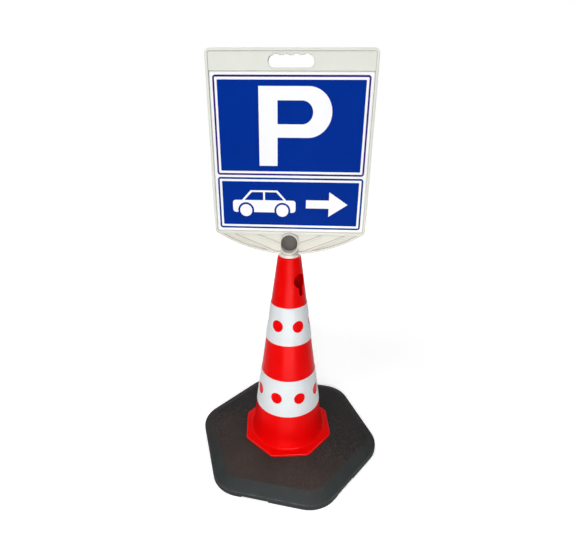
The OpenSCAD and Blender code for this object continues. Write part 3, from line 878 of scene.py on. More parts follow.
@dataclass
class RubberBase:
    """Hexagonal slab of crumb rubber with round corners, a bevel, a crowned top and finger notches."""

    sides: int = 6
    apothem: float = 205.95 * MM
    corner_r: float = 75 * MM
    edge_h: float = 13 * MM
    edge_cut: float = 1.8 * MM
    foot_cut: float = 1.5 * MM
    bevel_w: float = 27 * MM
    crease_z: float = 27 * MM
    crease_cut: float = 2.6 * MM
    crease_skin: float = 0.55
    skin_w: float = 12 * MM
    crown_w: float = 9 * MM
    crown_h: float = 0.67 * MM
    crown_corner: float = 6 * MM
    seat_z: float = 32 * MM
    seat_apothem: float = 118.2 * MM
    seat_corner_r: float = 8 * MM
    seat_cut: float = 8 * MM
    hole_r: float = 86.7 * MM
    recess_r: float = 115.7 * MM
    recess_z: float = 11.7 * MM
    recess_cut: float = 1 * MM
    notch_l: float = 62 * MM
    notch_h: float = 3 * MM
    notch_d: float = 25 * MM
    notch_wall: float = 0.3 * MM
    notch_end: float = 0.4 * MM
    side_steps: int = 30
    corner_steps: int = 14

    def loops(self, apothem: Array, corner_r: Array) -> tuple[Array, Array]:
        """Round-cornered hexagons, one for each row.

        A side runs along its tangent between the two corners' centres. A corner is an arc of 60 degrees
        about the point that lies (apothem - radius) from the side on each hand. A circle is a hexagon
        whose corner radius is its apothem.

        Args:
            apothem: Distance from the centre to the sides, one for each row.
            corner_r: Radius of the corners, one for each row.

        Returns:
            Points of shape (rows, columns, 2), and the share of the notch at each column, 0 or 1.
        """
        slope = np.tan(np.pi / self.sides)
        core = (apothem - corner_r)[:, None]
        full_half = (self.apothem - self.corner_r) * slope
        lip = self.notch_end / full_half
        ends = np.array([-self.notch_l / full_half, 0.0])
        share = np.sort(np.concatenate([np.linspace(-1, 1, self.side_steps), ends - lip, ends + lip]))
        notched = ((share > ends[0]) & (share < ends[1])).astype(float)
        bend = np.linspace(0, FULL_TURN / self.sides, self.corner_steps)[1:-1]
        arc_x = core + corner_r[:, None] * np.cos(bend)
        arc_y = core * slope + corner_r[:, None] * np.sin(bend)
        x = np.hstack([np.repeat(apothem[:, None], len(share), axis=1), arc_x])[:, None]
        y = np.hstack([core * slope * share, arc_y])[:, None]
        turns = ring_angles(self.sides)[None, :, None]
        cos, sin = np.cos(turns), np.sin(turns)
        around = np.stack([x * cos - y * sin, x * sin + y * cos], axis=-1)
        inside = np.tile(np.concatenate([notched, np.zeros(len(bend))]), self.sides)
        return around.reshape(len(apothem), -1, 2), inside

    def profile(self) -> Array:
        """Closed profile of the slab, from the hole over the top and the edge to the recess below.

        Returns:
            Rows of apothem, height, corner radius, share of the notch and smooth skin.
        """
        out, crease = self.apothem, self.apothem - self.bevel_w
        crease_r = self.corner_r - self.bevel_w
        crown_r = crease_r - self.crown_corner
        skin_z = np.interp(self.skin_w, [0, self.bevel_w], [self.crease_z, self.edge_h])
        notch = out - self.notch_d
        low_r = np.interp(notch, [self.recess_r, out], [self.recess_r, self.corner_r])
        return softened([
            (self.hole_r, self.recess_z, self.hole_r, 0, 1, 0),
            (self.hole_r, self.seat_z, self.hole_r, 0, 0, 0),
            (self.seat_apothem, self.seat_z, self.seat_corner_r, 0, 0, self.seat_cut),
            (crease - self.crown_w, self.crease_z + self.crown_h, crown_r, 0, 0, 0),
            (crease, self.crease_z, crease_r, 0, self.crease_skin, self.crease_cut),
            (crease + self.skin_w, skin_z, crease_r + self.skin_w, 0, 1, 0),
            (out, self.edge_h, self.corner_r, 0, 1, self.edge_cut),
            (out, 0, self.corner_r, 1, 1, self.foot_cut),
            (notch, 0, low_r, 1, 1, 0),
            (notch - self.notch_wall, 0, low_r, 0, 1, 0),
            (self.recess_r, 0, self.recess_r, 0, 1, self.recess_cut),
            (self.recess_r, self.recess_z, self.recess_r, 0, 1, 0),
        ])

    def build(self) -> None:
        """Makes the slab: each row of the profile is a hexagon, lifted where the notches are."""
        rows = self.profile()
        flat, inside = self.loops(rows[:, 0], rows[:, 2])
        height = rows[:, 1:2] + self.notch_h * rows[:, 3:4] * inside
        slab = Surface.ring(np.concatenate([flat, height[..., None]], axis=-1), rows[:, 4:5])
        make_piece("rubber_base", slab.turned(STAND_TURN), Body.STAND, ["base"], RUBBER)


@dataclass
class PiercedCell:
    """Stretch of a conical wall between two heights, with a hole through its middle, round angle 0.

    The hole is cut along X. Its outline lies reach(direction, offset) from its centre in the YZ plane. On
    a face of radius r, a point y across lies at the angle arcsin(y / r), and at the depth x for which
    x^2 + y^2 = r^2.
    """

    outer: Callable[[Array], Array]
    inner: Callable[[Array], Array]
    reach: Callable[[Array, Array | float], Array]
    half_angle: float
    low_z: float
    high_z: float
    centre_z: float
    columns: int
    rows: int
    rim: float
    steps: int = 7
    rim_steps: int = 5
    crowding: float = 1.5

    def border(self) -> tuple[Array, Array]:
        """Angles and heights round the cell's edge, anticlockwise from its lower left corner.

        Returns:
            The angles and the heights.
        """
        a = np.linspace(-self.half_angle, self.half_angle, self.columns + 1)
        z = np.linspace(self.low_z, self.high_z, self.rows + 1)
        along, beside = np.ones(self.columns), np.ones(self.rows)
        angle = np.concatenate([a[:-1], a[-1] * beside, a[:0:-1], a[0] * beside])
        height = np.concatenate([z[0] * along, z[:-1], z[-1] * along, z[:0:-1]])
        return angle, height

    def hole(self, way: Array, offset: Array | float) -> tuple[Array, Array]:
        """Y and Z of the hole's outline in some directions, at an offset outside its edge."""
        distance = self.reach(way, offset)
        return distance * np.cos(way), self.centre_z + distance * np.sin(way)

    def face(self, radius: Callable[[Array], Array], way: Array, offset: float, shares: Array) -> Array:
        """One face of the wall, from the cell's edge straight to the hole.

        Args:
            radius: Radius of the face at a height.
            way: Direction of each point of the edge from the hole's centre.
            offset: How far outside the hole's edge the face ends.
            shares: Share of the way to the hole at each row.

        Returns:
            Grid of shape (rows, points of the edge, 3).
        """
        edge_angle, edge_z = self.border()
        y, z = self.hole(way, offset)
        hole_angle = np.arcsin(np.clip(y / radius(z), -1, 1))
        angle = edge_angle + shares[:, None] * (hole_angle - edge_angle)
        height = edge_z + shares[:, None] * (z - edge_z)
        r = radius(height)
        return np.stack([r * np.cos(angle), r * np.sin(angle), height], axis=-1)

    def build(self) -> Surface:
        """Carries the edge to the hole, over its soft rim, through the wall and back on the inside.

        The rim is a quarter of a circle. Rows crowd towards the hole.

        Returns:
            The pierced wall, from the outer edge to the inner edge.
        """
        edge_angle, edge_z = self.border()
        way = np.arctan2(edge_z - self.centre_z, self.outer(edge_z) * np.sin(edge_angle))
        bends = np.linspace(0, np.pi / 2, self.rim_steps)[1:, None]
        y, z = self.hole(way, self.rim * (1 - np.sin(bends)))
        x = np.sqrt(np.maximum(self.outer(z) ** 2 - y**2, 0)) - self.rim * (1 - np.cos(bends))
        shares = 1 - (1 - np.linspace(0, 1, self.steps)) ** self.crowding
        outside = self.face(self.outer, way, self.rim, shares)
        inside = self.face(self.inner, way, 0.0, shares[::-1])
        return Surface.tube(np.concatenate([outside, np.stack([x, y, z], axis=-1), inside]))


@dataclass
class ConeBody:
    """Hollow red cone with an octagonal foot flange, a socket in its tip and a keyhole on each side."""

    tip_r: float = 25.7 * MM
    tip_z: float = 500 * MM
    foot_r: float = 89.2 * MM
    wall: float = 3.2 * MM
    wall_rows: int = 12
    flange_sides: int = 8
    flange_z: float = 32 * MM
    flange_top_z: float = 37 * MM
    flange_apothem: float = 105.5 * MM
    flange_corner: float = 1.07
    flange_cut: float = 0.6 * MM
    flare_h: float = 22 * MM
    flare_cut: float = 8 * MM
    bend_w: float = 2.3 * MM
    bend_h: float = 3.2 * MM
    bend_cut: float = 3 * MM
    rim_w: float = 2.4 * MM
    rim_cut: float = 1.5 * MM
    foot_steps: int = 9
    tip_cut: float = 1.8 * MM
    cap_t: float = 5 * MM
    cap_cut: float = 1 * MM
    socket_r: float = 17.8 * MM
    socket_wall: float = 2.8 * MM
    socket_z: float = 471 * MM
    socket_mouth_cut: float = 0.8 * MM
    socket_cut: float = 0.5 * MM
    keyhole_z: float = 449 * MM
    keyhole_r: float = 16 * MM
    keyhole_rim: float = 0.7 * MM
    slot_half: float = 5.75 * MM
    slot_end: float = 34.5 * MM
    ray_drop: float = 9 * MM
    window_low: float = 405 * MM
    window_high: float = 476 * MM
    window_half: float = np.pi / 4
    window_rows: int = 16
    window_steps: int = 10
    boss_r: float = 7.5 * MM
    boss_bore_r: float = 4.05 * MM
    boss_z: float = 20 * MM
    boss_sunk: float = 1 * MM
    boss_circle_r: float = 103.7 * MM
    boss_cut: float = 0.4 * MM
    boss_steps: int = 4
    boss_columns: int = 32

    def outer(self, z: Array) -> Array:
        """Outer radius at a height: a straight line from the foot to the tip."""
        slope = (self.foot_r - self.tip_r) / (self.tip_z - self.flange_top_z)
        return self.tip_r + slope * (self.tip_z - z)

    def inner(self, z: Array) -> Array:
        """Inner radius at a height."""
        return self.outer(z) - self.wall

    def keyhole(self, way: Array, offset: Array | float) -> Array:
        """Distance to the keyhole's edge, along rays from a point in its round part above the slot.

        The round part is met where the ray leaves its circle, the slot at its half width over the sine of
        the angle from straight down, and the slot's end where the ray leaves the end's circle.

        Args:
            way: Directions in the plane of the hole, in radians.
            offset: How far outside the hole's edge.

        Returns:
            The distances.
        """
        drop = self.ray_drop
        round_r, half = self.keyhole_r + offset, self.slot_half + offset
        end_z = self.slot_end - self.slot_half - drop
        dx, dz = np.cos(way), np.sin(way)
        round_way = drop * dz + np.sqrt(round_r**2 - (drop * dx) ** 2)
        end_way = -end_z * dz + np.sqrt(np.maximum(half**2 - (end_z * dx) ** 2, 0))
        side_way = half / np.maximum(np.abs(dx), TINY)
        from_down = np.abs(np.arctan2(dx, -dz))
        at_round = np.arctan2(half, np.sqrt(round_r**2 - half**2) - drop)
        at_end = np.arctan2(half, end_z)
        below = np.where(from_down > at_end, side_way, end_way)
        return np.where(from_down > at_round, round_way, below)

    def foot(self) -> Surface:
        """Wall below the keyholes and its flange, turned round Z, from circle to octagon at the edge.

        The wall flares a little at its foot, bends and runs out in the flange, which falls gently to its
        rim. The flange's top edge is marked for a painted highlight.

        Returns:
            The foot as a surface.
        """
        top, apothem = self.flange_top_z, self.flange_apothem
        flare_z = top + self.flare_h
        heights = np.linspace(self.window_low, flare_z + 2 * self.flare_cut, self.wall_rows)
        outside = np.stack([self.outer(heights), heights, 0 * heights], axis=-1)
        inside = np.stack([self.inner(heights), heights, 0 * heights], axis=-1)[::-1]
        rim = (apothem, top, 1, self.rim_cut)
        corners = [
            (*outside[-1], 0),
            (self.outer(flare_z), flare_z, 0, self.flare_cut),
            (self.foot_r + self.bend_w, top + self.bend_h, 0, self.bend_cut),
            (apothem - self.rim_w, top, 1, 0),
            rim,
            (apothem, self.flange_z, 1, self.flange_cut),
            (self.inner(self.flange_z), self.flange_z, 0, 0),
        ]
        profile = np.vstack([outside, softened(corners, self.foot_steps), inside])
        # Painted highlight: the rows of the flange's soft top edge are marked for the paler red
        painted_highlight = np.zeros((len(profile), 1))
        rim_row = len(outside) + corners.index(rim) * self.foot_steps
        painted_highlight[rim_row + 1:rim_row + self.foot_steps - 1] = 1.0
        angles = ring_angles()
        growth = polygon_growth(angles, self.flange_sides, self.flange_corner)
        return Surface.tube(turned_about_z(profile, angles, growth), painted_highlight)

    def tip(self) -> Surface:
        """Wall above the keyholes, soft tip edge, cap and socket, turned round Z.

        Returns:
            The tip as a surface.
        """
        socket_out = self.socket_r + self.socket_wall
        cap_z = self.tip_z - self.cap_t
        profile = softened([
            (self.outer(self.window_high), self.window_high, 0),
            (self.tip_r, self.tip_z, self.tip_cut),
            (self.socket_r, self.tip_z, self.socket_mouth_cut),
            (self.socket_r, self.socket_z, self.socket_cut),
            (socket_out, self.socket_z, self.socket_cut),
            (socket_out, cap_z, self.cap_cut),
            (self.inner(cap_z), cap_z, self.cap_cut),
            (self.inner(self.window_high), self.window_high, 0),
        ])
        return Surface.tube(turned_about_z(profile, ring_angles()))

    def band(self) -> list[Surface]:
        """Wall round the keyholes.

        Returns:
            A pierced cell on each side and the plain walls between them.
        """
        low, high, half = self.window_low, self.window_high, self.window_half
        columns = int(round(COLUMNS * half / np.pi))
        cell = PiercedCell(
            self.outer, self.inner, self.keyhole, half_angle=half, low_z=low, high_z=high,
            centre_z=self.keyhole_z - self.ray_drop, columns=columns, rows=self.window_rows,
            rim=self.keyhole_rim, steps=self.window_steps,
        ).build()
        heights = np.linspace(low, high, self.window_rows + 1)
        angles = np.linspace(half, np.pi - half, columns + 1)
        walls = [
            Surface.sheet(turned_about_z(np.stack([radius(heights), heights], axis=-1), angles))
            for radius in (self.outer, self.inner)
        ]
        return [part.turned(turn) for turn in (0.0, np.pi) for part in (cell, *walls)]

    def bosses(self) -> list[Surface]:
        """Tubes under the flange's corners that take the threaded inserts.

        Returns:
            One tube for each corner, turned about its own axis.
        """
        top = self.flange_z + self.boss_sunk
        section = rectangle(
            (self.boss_bore_r, self.boss_z), (self.boss_r, top), [self.boss_cut] * 4, self.boss_steps
        )
        upright = turned_about_z(section, ring_angles(self.boss_columns))
        tube = Surface.ring(upright + [self.boss_circle_r, 0, 0])
        turns = ring_angles(self.flange_sides) + np.pi / self.flange_sides
        return [tube.turned(turn) for turn in turns]

    def build(self) -> None:
        """Makes the cone."""
        whole = Surface.joined([self.foot(), self.tip(), *self.band(), *self.bosses()])
        make_piece("red_cone", whole.turned(STAND_TURN), Body.STAND, ["cone"], RED)


@dataclass
class ReflectiveSleeve:
    """Thin white sleeve on the cone with a row of round holes that show the red."""

    name: str
    node: str
    cone: ConeBody
    low_z: float
    height: float
    holes: int
    hole_turn: float
    hole_r: float = 13.75 * MM
    hole_rim: float = 0.25 * MM
    gap: float = 0.2 * MM
    thickness: float = 0.8 * MM
    edge: float = 0.22 * MM
    edge_steps: int = 4
    rows: int = 22

    def inner(self, z: Array) -> Array:
        """Inner radius at a height."""
        return self.cone.outer(z) + self.gap

    def outer(self, z: Array) -> Array:
        """Outer radius at a height."""
        return self.inner(z) + self.thickness

    def hole(self, way: Array, offset: Array | float) -> Array:
        """Distance from a hole's middle to its edge: the same in every direction."""
        return self.hole_r + offset + 0 * way

    def border(self, z: float, inwards: float) -> Surface:
        """Soft upper or lower edge of the sleeve, from the outer to the inner face, turned round Z.

        Args:
            z: Height of the edge.
            inwards: 1 where the sleeve lies above the edge, -1 where it lies below.

        Returns:
            The edge as a surface.
        """
        near = z + inwards * self.edge
        outer, inner = self.outer(near), self.inner(near)
        corners = [(outer, near, 0), (outer, z, self.edge), (inner, z, self.edge / 2), (inner, near, 0)]
        start = np.radians(self.hole_turn) - np.pi / self.holes
        return Surface.tube(turned_about_z(softened(corners, self.edge_steps), ring_angles() + start))

    def build(self) -> None:
        """Makes the sleeve from one pierced cell for each hole, and its two edges."""
        top_z = self.low_z + self.height
        cell = PiercedCell(
            self.outer, self.inner, self.hole, half_angle=np.pi / self.holes,
            low_z=self.low_z + self.edge, high_z=top_z - self.edge,
            centre_z=self.low_z + self.height / 2,
            columns=COLUMNS // self.holes, rows=self.rows, rim=self.hole_rim,
        ).build()
        turns = np.radians(self.hole_turn) + ring_angles(self.holes)
        edges = [self.border(self.low_z, 1.0), self.border(top_z, -1.0)]
        whole = Surface.joined([cell.turned(turn) for turn in turns] + edges)
        make_piece(self.name, whole.turned(STAND_TURN), Body.STAND, [self.node], SLEEVE)


@dataclass
class SwivelBush:
    """Collared bush with a square bore that turns in the cone's tip."""

    bush_r: float = 17.5 * MM
    collar_r: float = 21.3 * MM
    collar_z: float = 500 * MM
    collar_top_z: float = 506 * MM
    end_z: float = 466.7 * MM
    bore_half: float = 9.8 * MM
    bore_sides: int = 4
    bore_corner: float = 1.36
    groove_r: float = 15.95 * MM
    groove_low_z: float = 468.65 * MM
    groove_high_z: float = 470.75 * MM
    edge_cut: float = 0.6 * MM
    groove_cut: float = 0.2 * MM
    seat_cut: float = 0.4 * MM
    collar_cut: float = 1.8 * MM

    def build(self) -> None:
        """Makes the bush: a closed profile turned round Z, whose bore goes from circle to square."""
        profile = softened([
            (self.bore_half, self.end_z, 1, self.edge_cut),
            (self.bush_r, self.end_z, 0, self.edge_cut),
            (self.bush_r, self.groove_low_z, 0, self.groove_cut),
            (self.groove_r, self.groove_low_z, 0, self.groove_cut),
            (self.groove_r, self.groove_high_z, 0, self.groove_cut),
            (self.bush_r, self.groove_high_z, 0, self.groove_cut),
            (self.bush_r, self.collar_z, 0, self.seat_cut),
            (self.collar_r, self.collar_z, 0, self.edge_cut),
            (self.collar_r, self.collar_top_z, 0, self.collar_cut),
            (self.bore_half, self.collar_top_z, 1, self.edge_cut),
        ])
        angles = ring_angles()
        growth = polygon_growth(angles, self.bore_sides, self.bore_corner)
        whole = Surface.ring(turned_about_z(profile, angles, growth))
        make_piece("swivel_bush_collar", whole, Body.SWIVEL, ["swivel_bush"], BUSH)


@dataclass
class SignBoard:
    """Moulded board: rim, header with a carrying slot, recessed field, rail, rib fan, hub and stem."""

    width: float = 316 * MM
    low_z: float = 504.5 * MM
    top_z: float = 894.5 * MM
    arc_r: float = 284 * MM
    arc_steps: int = 121
    corner_r: float = 10 * MM
    corner_least: float = 1 * MM
    corner_steps: int = 10
    foot_cut: float = 4 * MM
    foot_steps: int = 6
    rim_half: float = 7 * MM
    rim_w: float = 5.5 * MM
    rim_out_cut: float = 1.8 * MM
    rim_in_cut: float = 1.2 * MM
    header_z: float = 857.1 * MM
    header_half: float = 5.5 * MM
    header_cut: float = 0.9 * MM
    header_edge: float = 1 * MM
    field_z: float = 555 * MM
    field_half: float = 3.5 * MM
    field_cut: float = 0.3 * MM
    rail_z: float = 548.5 * MM
    rail_half: float = 6.5 * MM
    rail_cut: float = 1.4 * MM
    fan_half: float = 2.5 * MM
    fan_top: float = 1 * MM
    fan_steps: int = 60
    rib_half: float = 6 * MM
    rib_w: float = 4.5 * MM
    rib_cut: float = 1.3 * MM
    rib_first_x: float = 78 * MM
    rib_pitch: float = 48 * MM
    rib_aim: float = 15 * MM
    rib_aim_pitch: float = 23 * MM
    rib_sunk: float = 1.5 * MM
    hub_z: float = 534.5 * MM
    hub_stretch: float = 5.5 * MM
    hub_r: float = 19.5 * MM
    hub_bore_r: float = 17.2 * MM
    hub_half: float = 21 * MM
    hub_cut: float = 0.8 * MM
    post_r: float = 19.4 * MM
    post_rings: int = 8
    post_columns: int = 96
    collar_top_z: float = 506 * MM
    collar_r: float = 22.3 * MM
    collar_gap: float = 0.2 * MM
    stem_half: float = 9.5 * MM
    stem_z: float = 467.7 * MM
    stem_cut: float = 1.6 * MM
    stem_lead: float = 1.2 * MM
    stem_end: float = 0.9
    stem_sunk: float = 1 * MM
    slot_half: float = 42 * MM
    slot_top_z: float = 883.7 * MM
    slot_h: float = 21.1 * MM
    slot_corner_r: float = 10 * MM
    slot_steps: int = 161
    finger_count: int = 4
    finger_end: float = 14 * MM
    finger_r: float = 12.5 * MM
    finger_depth: float = 1.5 * MM
    lip_w: float = 2.5 * MM
    lip_half: float = 6.5 * MM
    lip_in_cut: float = 1 * MM
    lip_out_cut: float = 0.6 * MM
    # How far the plates run into the rim, and the field and the fan into the rail and the header
    tuck: float = 4 * MM
    overlap: float = 2 * MM
    # Painted shade in the board's corners, along its steps and under the hub: width of its strips, and
    # how much of it lies in each place
    painted_shade_w: float = 0.9 * MM
    rib_painted_shade_w: float = 1.5 * MM
    rim_painted_shade: tuple[float, float, float] = (0.2, 0.45, 1.0)
    lip_painted_shade: float = 0.8
    rib_painted_shade: float = 0.22
    post_painted_shade: float = 0.3

    @property
    def hub_wall_r(self) -> float:
        """Middle radius of the hub's wall."""
        return (self.hub_r + self.hub_bore_r) / 2

    @property
    def clear_z(self) -> float:
        """Height that the board's lower edge keeps above the bush's collar."""
        return self.collar_top_z + self.collar_gap

    def outline(self, inset: Array) -> tuple[Array, Array]:
        """Board's outline drawn in by an inset, anticlockwise from the upper right corner.

        Upper corners are quarter circles. Lower corners are the parabola between a point on the side and
        one on the lower arc. The lower arc keeps its centre, and stays above the bush's collar.

        Args:
            inset: Distance inside the board's edge, one for each row.

        Returns:
            X and Z of shape (rows, columns).
        """
        inset = inset[:, None]
        half, radius = self.width / 2 - inset, self.arc_r - inset
        corner = np.maximum(self.corner_r - inset, self.corner_least)
        bend = np.linspace(0, np.pi / 2, self.corner_steps)
        right_x = half - corner + corner * np.cos(bend)
        right_z = self.top_z - inset - corner + corner * np.sin(bend)
        centre_z = self.low_z + self.arc_r
        low_angle = np.arcsin(half / radius)
        reach = low_angle - self.foot_cut / radius
        t = np.linspace(0, 1, self.foot_steps)
        side_z = centre_z - radius * np.cos(low_angle)
        foot_x = parabola(half, half, radius * np.sin(reach), t)
        foot_z = parabola(side_z + self.foot_cut, side_z, centre_z - radius * np.cos(reach), t)
        swing = np.linspace(-1, 1, self.arc_steps)[1:-1] * reach
        arc_x, arc_z = radius * np.sin(swing), centre_z - radius * np.cos(swing)
        arc_z = np.where(np.abs(arc_x) < self.collar_r, np.maximum(arc_z, self.clear_z), arc_z)
        x = np.hstack([right_x, -right_x[:, ::-1], -foot_x, arc_x, foot_x[:, ::-1]])
        z = np.hstack([right_z, right_z[:, ::-1], foot_z, arc_z, foot_z[:, ::-1]])
        return x, z

    def rim(self) -> Surface:
        """Raised rim: a soft rectangle of inset and depth, carried round the outline.

        Returns:
            The rim, with painted shade along its inner corner.
        """
        cuts = (self.rim_out_cut, self.rim_in_cut, self.rim_in_cut, self.rim_out_cut)
        section = rectangle((0, -self.rim_half), (self.rim_w, self.rim_half), cuts)
        x, z = self.outline(section[:, 0])
        corner = np.clip((section[:, :1] - self.rim_w) / self.painted_shade_w + 1, 0, 1)
        low, middle, high = self.rim_painted_shade
        places = [self.rail_z, self.field_z, self.header_z - self.header_edge, self.header_z]
        painted_light = np.interp(z, places, [low, middle, middle, high])
        return Surface.ring(standing(x, section[:, 1], z), corner * painted_light)

    def slot(self, offset: Array) -> tuple[Array, Array]:
        """Outline of the carrying slot, wider all round by an offset.

        Half of the height at x is the straight part plus the root of r^2 - (x past the corner's
        centre)^2. The upper edge is the highest of that and of the finger hollows' circles.

        Args:
            offset: Distance outside the slot's edge, one for each row.

        Returns:
            X and Z of shape (rows, columns), along the upper edge to the right and back along the lower.
        """
        offset = offset[:, None]
        middle_z = self.slot_top_z - self.slot_h / 2
        corner_x = self.slot_half - self.slot_corner_r
        corner_r = self.slot_corner_r + offset
        share = np.sin(np.linspace(-np.pi / 2, np.pi / 2, self.slot_steps))
        x = (self.slot_half + offset) * share
        past = np.maximum(np.abs(x) - corner_x, 0)
        half = self.slot_h / 2 - self.slot_corner_r + np.sqrt(np.maximum(corner_r**2 - past**2, 0))
        first = self.finger_end - self.slot_half
        fingers = np.linspace(first, -first, self.finger_count)[:, None, None]
        below = (self.finger_r + offset) ** 2 - (x - fingers) ** 2
        centre_z = self.slot_top_z + self.finger_depth - self.finger_r
        hollows = np.where(below > 0, centre_z + np.sqrt(np.maximum(below, 0)), 0).max(axis=0)
        upper = np.maximum(middle_z + half, hollows)
        return np.hstack([x, x[:, ::-1]]), np.hstack([upper, (middle_z - half)[:, ::-1]])

    def lip(self) -> Surface:
        """Raised lip of the slot: a soft rectangle of offset and depth, carried round the slot.

        Returns:
            The lip, with painted shade in its mouth.
        """
        cuts = (self.lip_in_cut, self.lip_out_cut, self.lip_out_cut, self.lip_in_cut)
        section = rectangle((0, -self.lip_half), (self.lip_w, self.lip_half), cuts)
        x, z = self.slot(section[:, 0])
        mouth = np.clip(1 - section[:, :1] / self.painted_shade_w, 0, 1)
        return Surface.ring(standing(x, section[:, 1], z), self.lip_painted_shade * mouth)

    def header(self) -> Surface:
        """Header plate: from the slot's lip straight up or down to a rectangle tucked into the rim.

        The slot's ends are drawn out to the rectangle's four corners, on both faces.

        Returns:
            The plate, with painted shade along its lower edge.
        """
        slot_x, slot_z = (row[0] for row in self.slot(np.array([self.lip_w / 2])))
        half, top = self.width / 2 - self.tuck, self.top_z - self.tuck
        count = len(slot_x) // 2
        ends = [count - 1, count, 2 * count - 1, 0]
        order = np.concatenate([np.arange(count), ends[:2], np.arange(count, 2 * count), ends[2:]])
        slot_x, slot_z = slot_x[order], slot_z[order]
        out_x = slot_x.copy()
        out_x[[count, count + 1]] = half
        out_x[[-2, -1]] = -half
        upper = np.arange(len(order)) <= count
        upper[-1] = True
        cuts = (0, self.header_cut, self.header_cut, 0)
        section = rectangle((0, -self.header_half), (self.header_edge, self.header_half), cuts)
        drop, depth = section[:, 0], section[:, 1]
        shares = np.where(drop > 0, 1.0, 0.0)[:, None]
        low = self.header_z + self.header_edge - drop
        out_z = np.where(upper, top, low[:, None])
        x = slot_x + shares * (out_x - slot_x)
        z = slot_z + shares * (out_z - slot_z)
        edge = (drop > self.header_edge / 2) & (np.abs(depth) < self.header_half)
        return Surface.ring(standing(x, depth, z), 1.0 * (edge[:, None] & (out_z < top)))

    def plates(self) -> list[Surface]:
        """Field plate and rail: soft rectangles of height and depth, carried from side to side.

        Returns:
            The two plates.
        """
        half = self.width / 2 - self.tuck
        low_z, high_z = self.rail_z + self.overlap, self.header_z + self.overlap
        field = (low_z, high_z, self.field_half, self.field_cut)
        rail = (self.rail_z, self.field_z, self.rail_half, self.rail_cut)
        made = []
        for low, high, thick, cut in (field, rail):
            stations = np.array([[side * half, 0, (low + high) / 2, 1] for side in (-1, 1)])
            section = centred_rectangle((high - low) / 2, thick, cut)
            made.append(bar(section, stations, (0, 0, 1), (0, 1, 0)))
        return made

    def fan(self) -> Surface:
        """Web of the rib fan: from the hub's wall straight out to the rail above and the rim below.

        Returns:
            The web as a surface.
        """
        x, z = (row[0] for row in self.outline(np.array([self.rim_w / 2])))
        below = z < self.rail_z + self.fan_top
        low_x, low_z = x[below], z[below]
        edge_x = np.concatenate([low_x, np.linspace(low_x.max(), low_x.min(), self.fan_steps)])
        edge_z = np.concatenate([low_z, np.full(self.fan_steps, self.rail_z + self.overlap)])
        way = np.arctan2(edge_z - self.hub_z, edge_x)
        ring_x, ring_z = self.hub_wall_r * np.cos(way), self.hub_z + self.hub_wall_r * np.sin(way)
        ring_z = np.where(way < 0, ring_z - self.hub_stretch, ring_z)
        shares = np.array([0.0, 1.0, 1.0, 0.0])[:, None]
        depth = np.array([-1.0, -1.0, 1.0, 1.0]) * self.fan_half
        out_x, out_z = ring_x + shares * (edge_x - ring_x), ring_z + shares * (edge_z - ring_z)
        return Surface.ring(standing(out_x, depth, out_z))

    def rib(self, number: int, side: int) -> Surface:
        """One rib, a soft bar that aims at a point below the hub's centre and ends in the rail.

        It starts at the hub's wall, a circle about the lower half's centre, or higher up if it would
        otherwise come too near to the bush's collar.

        Args:
            number: 0 for the rib next to the hub, 1 for the one outside it.
            side: -1 on the left and 1 on the right.

        Returns:
            The rib, with painted shade at its foot.
        """
        drop = self.rib_aim + number * self.rib_aim_pitch
        run = self.rib_first_x + number * self.rib_pitch
        rise = self.rail_z + self.rib_sunk - (self.hub_z - drop)
        way = np.array([run, rise]) / np.hypot(run, rise)
        slope = rise / run
        below = drop - self.hub_stretch
        inside = (slope * below) ** 2 - (1 + slope**2) * (below**2 - self.hub_wall_r**2)
        at_wall = (slope * below + np.sqrt(max(inside, 0.0))) / (1 + slope**2)
        at_rim = (self.clear_z + self.rib_w / 2 / way[0] - self.hub_z + drop) / slope
        near = max(at_wall if inside > 0 else 0.0, at_rim)
        stations = np.array([[side * x, 0, self.hub_z - drop + x * slope, 1] for x in (near, run)])
        section = centred_rectangle(self.rib_w / 2, self.rib_half, self.rib_cut)
        beside = (np.abs(section[:, 0]) - self.rib_w / 2) / self.rib_painted_shade_w + 1
        painted_light = self.rib_painted_shade * np.clip(beside, 0, 1)
        return bar(section, stations, (-way[1] * side, 0, way[0]), (0, 1, 0), painted_light)

    def hub(self) -> list[Surface]:
        """Hub: a soft-lipped tall tube about Y, and a round post under it that follows the tube's wall.

        Returns:
            The tube, and the post with painted shade on it.
        """
        cuts = [self.hub_cut] * 4
        tube = rectangle((self.hub_bore_r, -self.hub_half), (self.hub_r, self.hub_half), cuts)
        low_z = self.hub_z - self.hub_stretch
        outside = softened([
            (0, self.collar_top_z, 0),
            (self.post_r, self.collar_top_z, self.hub_cut),
            (self.post_r, low_z, 0),
        ])
        radii = np.linspace(self.post_r, 0, self.post_rings)
        inward = np.stack([radii, np.full(self.post_rings, low_z)], axis=-1)
        post = turned_about_z(np.vstack([outside, inward]), ring_angles(self.post_columns))
        roof = low_z - np.sqrt(np.maximum(self.hub_wall_r**2 - post[..., 0] ** 2, 0))
        post[..., 2] = np.minimum(post[..., 2], roof)
        upright = tall_ring(tube, self.hub_stretch, self.hub_z)
        return [Surface.ring(upright), Surface.tube(post, self.post_painted_shade)]

    def stem(self) -> Surface:
        """Square stem with soft edges, a little narrower at its lower end.

        Returns:
            The stem as a surface.
        """
        stations = np.array([
            [0, 0, self.stem_z, self.stem_end],
            [0, 0, self.stem_z + self.stem_lead, 1],
            [0, 0, self.collar_top_z + self.stem_sunk, 1],
        ])
        section = centred_rectangle(self.stem_half, self.stem_half, self.stem_cut)
        return bar(section, stations, (1, 0, 0), (0, 1, 0))

